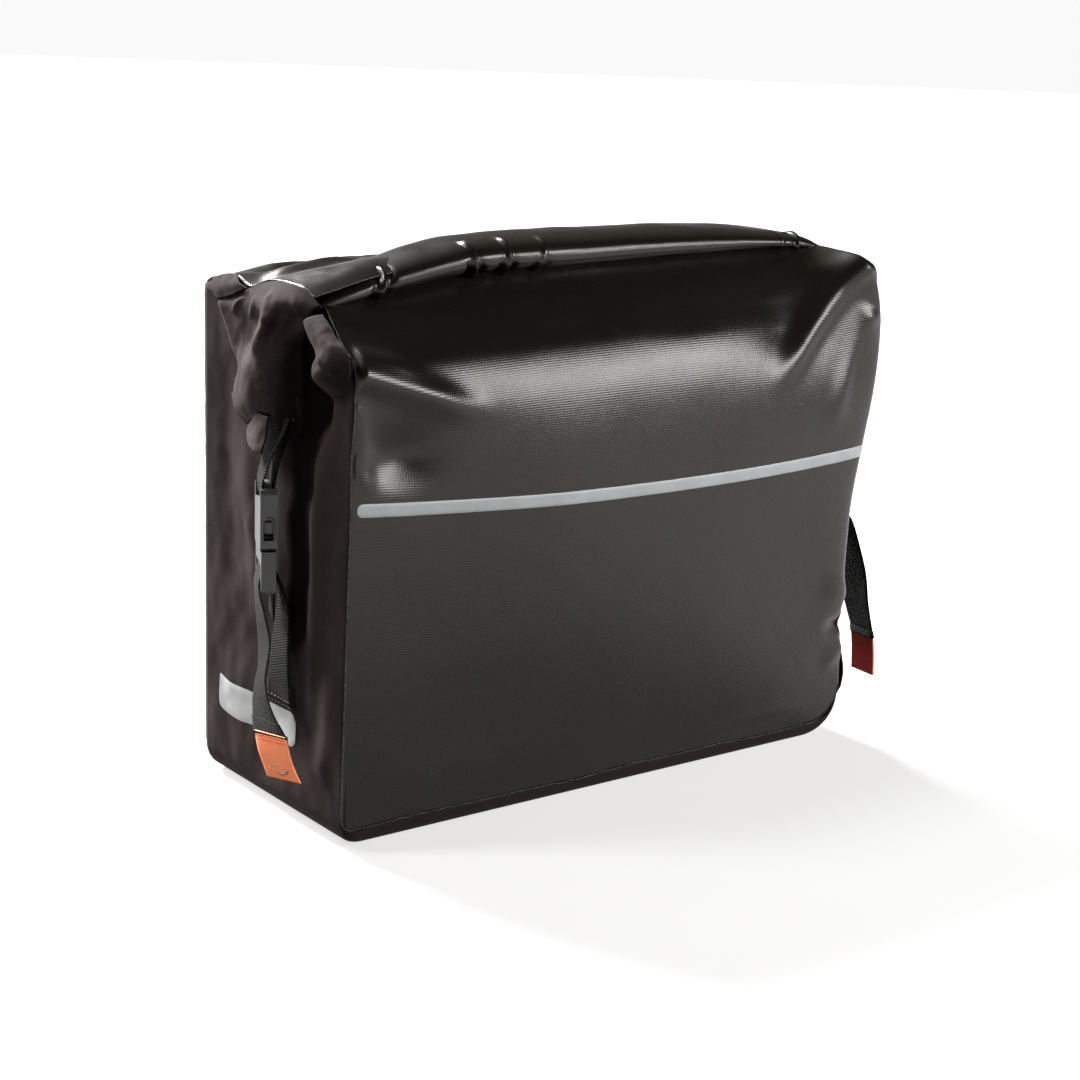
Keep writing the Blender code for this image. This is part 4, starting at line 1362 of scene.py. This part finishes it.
# ------------------------------------------------------------------ reflective stripe and patches
# Half the stripe's width, where it starts, its height at the left, how much it sags and falls
STRIPE_HALF = 4.0
STRIPE_START = -205.0
STRIPE_Z, STRIPE_SAG, STRIPE_FALL = 209.0, 26.0, 2.0
STRIPE_LEFT, STRIPE_SPAN = -207.0, 418.0
STRIPE_STEPS = 8
# Film stands this proud of the fabric, and this much at its edges
PROUD, PROUD_EDGE = 0.45, 0.05


def front_stripe():
    """Thin film that follows the front panel, sags a little, and has a round left end."""
    columns = []
    for c in range(2, FRONT_ACROSS - 1):
        # The flat part of the panel, where height grows with the row
        line = front[:160, c]
        x_here = front[FRONT_ROWS // 3, c, 0]
        share = (x_here - STRIPE_LEFT) / STRIPE_SPAN
        middle = STRIPE_Z - STRIPE_SAG * share * (1.0 - share) - STRIPE_FALL * share
        half = STRIPE_HALF
        start = x_here - STRIPE_START
        if start < 0.15:
            continue
        if start < STRIPE_HALF:
            half = math.sqrt(max(0.05, STRIPE_HALF**2 - (STRIPE_HALF - start) ** 2))
        column = []
        for k in range(STRIPE_STEPS + 1):
            z = middle - half + 2.0 * half * k / STRIPE_STEPS
            y = np.interp(z, line[:, 2], line[:, 1])
            x = np.interp(z, line[:, 2], line[:, 0])
            column.append((x, y - (PROUD if 0 < k < STRIPE_STEPS else PROUD_EDGE), z))
        columns.append(column)
    obj = sheet_object("front_stripe", np.swapaxes(np.asarray(columns), 0, 1), "reflective")
    ride(obj, "bag", "reflective_tape", "reflective_stripe")


front_stripe()


def on_gusset(side, y, z):
    """x of the gusset surface at a place on one side."""
    half = gusset.shape[0] // 2
    flat = (gusset[:half] if side < 0 else gusset[half:]).reshape(-1, 3)
    d = (flat[:, 1] - y) ** 2 + (flat[:, 2] - z) ** 2
    nearest = np.argsort(d)[:6]
    weight = 1.0 / (d[nearest] + 0.05)
    return float((flat[nearest, 0] * weight).sum() / weight.sum())


# Edges of the patch low on each side, as (y, z) from the back to the front
PATCH_TOP = (
    (66.0, 72.0), (58.0, 70.6), (45.0, 70.2), (24.0, 71.6), (3.0, 71.2),
    (-11.0, 71.2), (-22.0, 71.6), (-28.0, 69.5), (-31.0, 65.0),
)
PATCH_LOW = (
    (66.0, 58.0), (64.0, 51.5), (56.0, 48.5), (38.0, 47.8), (18.0, 49.6),
    (-4.0, 50.0), (-20.0, 49.5), (-27.0, 49.8), (-31.0, 53.0),
)
PATCH_STEPS = 11


def side_patch(side, word):
    """Reflective film low on one side."""
    top = through(PATCH_TOP, 60)
    low = through(PATCH_LOW, 60)
    rows = []
    for k in range(PATCH_STEPS + 1):
        f = k / PATCH_STEPS
        line = top * (1 - f) + low * f
        proud = PROUD if 0 < k < PATCH_STEPS else 0.12
        rows.append([(on_gusset(side, y, z) + side * proud, y, z) for y, z in line])
    obj = sheet_object(word + "_side_patch", np.asarray(rows), "reflective_patch", flip=side > 0)
    ride(obj, "bag", "reflective_tape", word + "_reflector")


def facing(side, degrees):
    """Width direction of webbing that hangs at a side, turned about the vertical."""
    a = math.radians(degrees)
    return (-side * math.sin(a), math.cos(a), 0.0)


COVER_TOP, COVER_HEIGHT, COVER_WIDTH = 88.0, 16.5, 34.0


def anchor_cover(side, word):
    """Sewn patch over the end of the webbing, low on one side, with two rows of stitches."""
    rows = []
    for k in range(10):
        f = k / 9.0
        z = COVER_TOP - COVER_HEIGHT * f
        line = []
        for j in range(24):
            g = j / 23.0
            y = STRAP_Y[side] + 23.0 - COVER_WIDTH * g
            bulge = 2.4 * ease((1.0 - f) * 3.0) * ease(g * 8.0) * ease((1 - g) * 8.0)
            line.append((on_gusset(side, y, z) + side * (0.5 + bulge), y, z))
        rows.append(line)
    grid = np.asarray(rows)
    obj = sheet_object(word + "_anchor_cover", grid, "patch", flip=side > 0)
    ride(obj, "bag", "patch_fabric", word + "_anchor_patch")
    for tag, row in (("low", 7), ("high", 5)):
        thread = stitches("%s_anchor_stitch_%s" % (word, tag), grid[row, 2:-2], (side, 0, 0), "thread")
        ride(thread, "bag", "patch_fabric")


# From the patch up to the plug: shift along y, z, distance off the fabric, turn in degrees
SEWN_STRAP = (
    (6.0, 79.0, 1.6, 0.0),
    (5.0, 92.0, 2.6, 2.0),
    (2.0, 112.0, 4.0, 6.0),
    (-2.0, 132.0, 5.0, 12.0),
    (-4.0, 146.0, 7.0, 18.0),
    (-3.0, 158.0, 10.0, 22.0),
    (-1.0, 166.0, 12.5, 24.0),
)


def sewn_strap(side, word):
    """Webbing from the patch up to the plug."""
    stations = []
    for shift, z, out, degrees in SEWN_STRAP:
        y = STRAP_Y[side] + shift
        x = on_gusset(side, y, z) + side * out
        if z > 140.0:
            x = side * max(abs(x), 214.0 + (z - 140.0) * 0.32)
        stations.append(((x, y, z), facing(side, degrees)))
    strap = strap_mesh(word + "_sewn_strap", stations, WEB_WIDTH, WEB_THICK, "web", 8)
    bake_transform(strap)
    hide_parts(word + "_anchor_strap")


for side, word in SIDES:
    side_patch(side, word)
    anchor_cover(side, word)
    sewn_strap(side, word)


# ------------------------------------------------------------------ webbing and tabs
def buckle_station(side, out, z, extra=0.0):
    """Station of webbing at the buckle: out from its middle plane, at height z."""
    a = math.radians(side * BUCKLE_YAW + extra)
    x = side * BUCKLE_X + side * out * math.cos(a)
    y = STRAP_Y[side] + side * out * math.sin(a)
    return (x, y, z), (-math.sin(a), math.cos(a), 0.0)


# Round the socket's bar, as (out, z): up into the ear at both ends
LOOP = (
    (-14.0, 256.0), (-11.6, 246.0), (-7.2, 235.0), (-4.0, 220.0), (-3.3, 210.6), (-1.8, 208.0),
    (1.8, 208.0), (3.3, 210.6), (3.2, 219.0), (-1.8, 235.0), (-7.4, 246.0), (-10.6, 256.0),
)


def upper_loop(side, word):
    """Webbing from the ear round the socket's bar and back."""
    stations = []
    for out, z in LOOP:
        twist = side * -8.0 * max(0.0, (z - 214.0) / 40.0)
        stations.append(buckle_station(side, out, z, twist))
    strap = strap_mesh(word + "_loop_strap", stations, WEB_WIDTH, WEB_THICK, "web", 7)
    ride(strap, "closure", "black_webbing", word + "_upper_strap")


# Round the plug's two bars, as (out, z)
BARS = (
    (-3.7, 134.0), (-3.7, 150.0), (-3.7, 161.0), (-2.9, 164.8), (-1.2, 166.2),
    (1.4, 166.2), (3.1, 164.6), (4.2, 160.0), (5.4, 155.0),
)
# Hanging stretch and pull tab on each side: distance from the middle, y, z, turn in degrees
TAIL = {
    -1: (
        (233.6, -22.6, 150.0, 22.0),
        (234.6, -28.5, 138.0, 16.0),
        (234.0, -31.5, 123.0, 13.0),
        (234.6, -30.5, 104.0, 20.0),
        (234.8, -29.5, 94.0, 14.0),
        (236.2, -33.0, 84.0, 4.0),
        (238.2, -41.0, 76.0, -8.0),
        (240.0, -49.5, 69.5, -20.0),
    ),
    1: (
        (237.5, -36.5, 151.0, 14.0),
        (243.5, -39.5, 144.0, 0.0),
        (247.0, -44.0, 128.0, 0.0),
        (248.5, -50.0, 108.0, 4.0),
        (249.0, -55.0, 86.0, 0.0),
        (251.5, -60.0, 66.0, -6.0),
        (251.5, -61.0, 62.0, -6.0),
    ),
}
TAB = {
    -1: (
        (240.3, -50.2, 70.4, -20.0),
        (240.9, -55.6, 60.5, -22.0),
        (240.2, -60.0, 53.0, -22.0),
        (238.8, -64.0, 45.5, -24.0),
    ),
    1: (
        (251.6, -61.3, 63.0, -6.0),
        (252.0, -62.5, 53.0, -6.0),
        (251.8, -63.6, 44.0, -6.0),
        (251.0, -65.0, 34.5, -6.0),
    ),
}
TAIL_STEPS = 7
HEM_WIDTH, HEM_THICK = 25.6, 3.0
TAB_WIDTH, TAB_THICK = 24.0, 2.2
LOZENGE = ((-7.0, 0.0), (0.0, -3.4), (7.0, 0.0), (0.0, 3.4), (-7.0, 0.0))
LOZENGE_STEPS = 12


def hanging(side, points):
    return [((side * x, y, z), facing(side, degrees)) for x, y, z, degrees in points]


def tail(side, word):
    """Webbing that hangs from the plug, with its folded hem and its pull tab."""
    body = word + "_plug"
    stations = [buckle_station(side, out, z) for out, z in BARS] + hanging(side, TAIL[side])
    strap = strap_mesh(word + "_tail", stations, WEB_WIDTH, WEB_THICK, "web", TAIL_STEPS)
    ride(strap, body, "black_webbing", word + "_tail_strap")
    hem = hanging(side, TAIL[side][-2:] + TAB[side][:1])
    band = strap_mesh(word + "_tail_hem", hem, HEM_WIDTH, HEM_THICK, "web", 6)
    ride(band, body, "black_webbing")
    tab = strap_mesh(word + "_pull_tab", hanging(side, TAB[side]), TAB_WIDTH, TAB_THICK, "tab", 10)
    ride(tab, body, "orange_tab", word + "_tab")


def tab_shade_sheet(side, word):
    """Inner face of the pull tab, just clear of it, in the dark red painted-shade copy of the tab's colour.
    """
    rows = []
    for point, way in hanging(side, TAB[side]):
        point, way = np.asarray(point), np.asarray(way)
        away = np.array([-side * abs(way[1]), side * way[0] * np.sign(way[1]), 0.0])
        rows.append([point + way * w + away * 1.35 for w in (-11.6, -6.0, 0.0, 6.0, 11.6)])
    lining = sheet_object(word + "_tab_inner", patch_through(rows, 24, 12), "tab_shaded_inner")
    ride(lining, word + "_plug", "orange_tab")


def tab_sewing(side, word):
    """Two rows of stitches, and a plain embroidered lozenge in place of the printed mark."""
    spine = np.asarray([point for point, way in hanging(side, TAB[side])])
    across = np.asarray(hanging(side, TAB[side])[0][1])
    down = spine[1] - spine[0]
    normal = unit(np.cross(down, across))
    if normal[1] > 0:
        normal = -normal
    for row, drop in enumerate((0.22, 0.42)):
        line = [spine[0] + down * drop + across * w for w in np.linspace(-10.5, 10.5, 30)]
        line = np.asarray(line) + normal
        name = "%s_tab_stitch_%d" % (word, row + 1)
        ride(stitches(name, line, normal, "tab_thread", 1.3, 0.8, 0.28, 0.1), word + "_plug", "orange_tab")
    middle = spine[2] + (spine[3] - spine[2]) * 0.25
    fall = unit(spine[3] - spine[1])
    corners = [middle + across * a + fall * b for a, b in LOZENGE]
    path = []
    for a, b in zip(corners[:-1], corners[1:]):
        path += [a + (b - a) * k / LOZENGE_STEPS for k in range(LOZENGE_STEPS)]
    path = np.asarray(path + [corners[-1]]) + normal * 1.15
    lozenge = stitches(word + "_tab_lozenge", path, normal, "mark", 1.5, 0.35, 0.3, 0.0)
    ride(lozenge, word + "_plug", "orange_tab")


for side, word in SIDES:
    upper_loop(side, word)
    tail(side, word)
    tab_shade_sheet(side, word)
    tab_sewing(side, word)


# ------------------------------------------------------------------ CAD nodes that stay
def finish_nodes(names, material, bevel=0.0, segments=2):
    """Material and rounded edges for CAD nodes that are shown as they are; bevel in millimetres."""
    for name in names:
        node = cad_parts[name]
        node.data.materials.clear()
        node.data.materials.append(MATERIALS[material])
        node.data.shade_smooth()
        if bevel:
            change = node.modifiers.new("edge", "BEVEL")
            change.width = bevel * MM
            change.segments = segments
            change.limit_method = "ANGLE"
            change.angle_limit = math.radians(40.0)
            change.harden_normals = True
        node.data.set_sharp_from_angle(angle=math.radians(38.0))


RIM_HALF = 3.3
RIM_LOW = 184.8
RIM_TOP = 194.3
RIM_MIDDLE = (RIM_LOW + RIM_TOP) / 2.0
RIM_STEPS = 20
SOCKET_HALF = 16.0


def window_rim(side, word, end):
    """Raised rim of one release window on the socket's narrow side, round at its top."""
    a = math.radians(side * BUCKLE_YAW)
    out_way = np.array([side * math.cos(a), side * math.sin(a), 0.0])
    across = np.array([-math.sin(a), math.cos(a), 0.0])
    arch = [(RIM_HALF, RIM_LOW), (RIM_HALF, RIM_MIDDLE)]
    for k in range(RIM_STEPS + 1):
        turn = math.pi * k / RIM_STEPS
        arch.append((RIM_HALF * math.cos(turn), RIM_TOP + RIM_HALF * math.sin(turn)))
    arch += [(-RIM_HALF, RIM_MIDDLE), (-RIM_HALF, RIM_LOW)]
    centre = np.array([side * BUCKLE_X, STRAP_Y[side], 0.0]) + across * end * SOCKET_HALF
    path = [centre + out_way * w + np.array([0.0, 0.0, z]) for w, z in arch]
    tag = "rear" if end > 0 else "front"
    ride(bead("%s_window_rim_%s" % (word, tag), path, 0.75, "buckle"), "closure", "buckle_plastic")


for side, word in SIDES:
    for end in (-1, 1):
        window_rim(side, word, end)

def both(*patterns):
    """The names of a pair of nodes for each pattern."""
    return [pattern % word for pattern in patterns for side, word in SIDES]


finish_nodes(both("%s_socket", "%s_plug"), "buckle", 0.9, 3)
finish_nodes(both("%s_prong_front", "%s_prong_rear"), "prong", 0.7, 3)
finish_nodes(both("%s_hook") + ["lower_carriage", "lower_fin"], "hook", 0.7)
finish_nodes(both("%s_handle_lug"), "hook", 0.6)
finish_nodes(both("%s_latch"), "latch", 0.5)
finish_nodes(["upper_rail", "lower_rail"], "rail", 0.3)
finish_nodes(["upper_nut_bar", "lower_nut_bar"], "nut_bar", 0.3, 1)
finish_nodes(["upper_screw_%d" % k for k in (1, 2, 3, 4)], "steel", 0.25)
finish_nodes(["lower_screw_1", "lower_screw_2", "fin_screw"], "steel", 0.25)
finish_nodes(both("%s_latch_pin", "%s_handle_pin"), "steel", 0.25)
finish_nodes(both("%s_latch_spring"), "steel")
finish_nodes(["stiffener_board"], "board", 0.4, 1)
finish_nodes(["handle_grip"], "rubber", 1.6, 3)

HANDLE_HALF, HANDLE_WIDTH, HANDLE_THICK = 50.0, 8.0, 6.4


def handle():
    """Soft webbing handle over its CAD loop."""
    low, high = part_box("carry_handle")
    y = (low.y + high.y) / 2.0 / MM
    top = high.z / MM - 5.5
    bottom = low.z / MM + 3.5
    drop = top - bottom
    # One leg from the top down, as (distance inwards, z), then the middle, then the other leg
    leg = ((0.0, top + 4.5), (0.0, top - 8), (0.0, top - drop + 16), (3.0, bottom + 5), (10.0, bottom))
    path = [(-HANDLE_HALF + inward, z) for inward, z in leg]
    path += [(x, bottom) for x in (-20.0, 0.0, 20.0)]
    path += [(HANDLE_HALF - inward, z) for inward, z in leg[::-1]]
    stations = [((x, y, z), (0.0, 1.0, 0.0)) for x, z in path]
    strap = strap_mesh("handle_webbing", stations, HANDLE_WIDTH, HANDLE_THICK, "web", 8)
    ride(strap, "handle", "black_webbing", "carry_handle")


handle()


# ------------------------------------------------------------------ floor, light and camera
FLOOR_RADII = (0.0, 900.0, 2500.0, 6000.0, 14000.0, 40000.0)
FLOOR_Z = -0.05
FLOOR_STEPS = 48


def stage():
    """Wide pale floor; the sky meets it in nearly the same tone and darkens higher up."""
    m = Nodes("studio_floor")
    grain = m.noise(m.coords("Object"), 6.0, 3.0)
    tone = m.mix(grain, rgb(0.22, 0.22, 0.22), rgb(0.25, 0.25, 0.25))
    m.set(colour=tone, roughness=0.9, specular=0.05)
    m.shader.inputs["Emission Color"].default_value = rgb(1.0, 0.985, 0.962)
    m.shader.inputs["Emission Strength"].default_value = 0.68
    MATERIALS["floor"] = m.material
    rows = []
    turns = [2.0 * math.pi * k / FLOOR_STEPS for k in range(FLOOR_STEPS + 1)]
    for radius in FLOOR_RADII:
        rows.append([(radius * math.cos(a), radius * math.sin(a), FLOOR_Z) for a in turns])
    floor = sheet_object("floor", np.asarray(rows), "floor")
    # The floor shows and mirrors, but throws no bounce light into the folds
    floor.visible_diffuse = False


stage()


def lamp(data, place, toward):
    """Puts a lamp in the scene; toward is the direction from the object to the lamp."""
    obj = bpy.data.objects.new(data.name, data)
    obj.location = place
    obj.rotation_mode = "QUATERNION"
    obj.rotation_quaternion = (-Vector(toward)).to_track_quat("-Z", "Y")
    bpy.context.scene.collection.objects.link(obj)


def soft_box():
    """Wide lamp in front of the bag on its right: the broad highlight of the glossy front."""
    data = bpy.data.lights.new("front_right_box", "AREA")
    data.energy = 56.0
    data.color = (0.93, 0.965, 1.0)
    data.shape = "RECTANGLE"
    data.size = 1.1
    data.size_y = 0.56
    place, target = Vector((1.22, -1.60, 0.86)), Vector((0.0, 0.0, 0.26))
    lamp(data, place, -(target - place))


def sun(name, toward, strength, angle):
    """Distant soft lamp, this many degrees across."""
    data = bpy.data.lights.new(name, "SUN")
    data.energy = strength
    data.angle = math.radians(angle)
    lamp(data, (0.0, 0.0, 0.0), toward)


soft_box()
sun("rear_left_sun", (-0.05, 0.78, 0.62), 21.0, 22.0)
sun("left_sun", (-0.62, 0.34, 0.71), 2.7, 14.0)


def studio_world():
    """Bright up to the horizon, dark above it, so that only the lamps shine from above."""
    world = bpy.data.worlds.new("studio")
    world.use_nodes = True
    tree = world.node_tree
    place = tree.nodes.new("ShaderNodeTexCoord")
    split = tree.nodes.new("ShaderNodeSeparateXYZ")
    fade = tree.nodes.new("ShaderNodeMapRange")
    fade.interpolation_type = "SMOOTHSTEP"
    for name, number in (("From Min", 0.06), ("From Max", 0.14), ("To Min", 0.95), ("To Max", 0.045)):
        fade.inputs[name].default_value = number
    level = tree.nodes.new("ShaderNodeMath")
    level.operation = "ABSOLUTE"
    tree.links.new(place.outputs["Generated"], split.inputs[0])
    tree.links.new(split.outputs["Z"], level.inputs[0])
    tree.links.new(level.outputs[0], fade.inputs["Value"])
    tree.links.new(fade.outputs["Result"], tree.nodes["Background"].inputs["Strength"])
    tree.nodes["Background"].inputs["Color"].default_value = rgb(1.0, 1.0, 1.0)
    bpy.context.scene.world = world


studio_world()
bpy.context.scene.view_settings.view_transform = "Standard"

# Fitted to the edges of the bag in the photograph
AZIMUTH = math.radians(-37.9)
ELEVATION = math.radians(13.57)
ROLL_ANGLE = math.radians(2.10)
DISTANCE = 1365.9
SHIFT_RIGHT = -3.04
SHIFT_UP = -15.32
TARGET_Z = 165.0
LENS = 67.74


def camera():
    """Camera round the bag at AZIMUTH and ELEVATION, rolled and shifted a little."""
    ce, se = math.cos(ELEVATION), math.sin(ELEVATION)
    back_way = Vector((math.sin(AZIMUTH) * ce, -math.cos(AZIMUTH) * ce, se))
    right = Vector((math.cos(AZIMUTH), math.sin(AZIMUTH), 0.0))
    up = back_way.cross(right)
    place = Vector((0, 0, TARGET_Z)) + back_way * DISTANCE + right * SHIFT_RIGHT + up * SHIFT_UP
    cr, sr = math.cos(ROLL_ANGLE), math.sin(ROLL_ANGLE)
    turn = np.array([right * cr + up * sr, up * cr - right * sr, back_way]).T
    data = bpy.data.cameras.new("camera")
    data.lens = LENS
    data.sensor_width = 36.0
    data.clip_end = 50.0
    obj = bpy.data.objects.new("camera", data)
    obj.location = place * MM
    obj.rotation_mode = "QUATERNION"
    obj.rotation_quaternion = Matrix(turn.tolist()).to_quaternion()
    bpy.context.scene.collection.objects.link(obj)
    bpy.context.scene.camera = obj


camera()
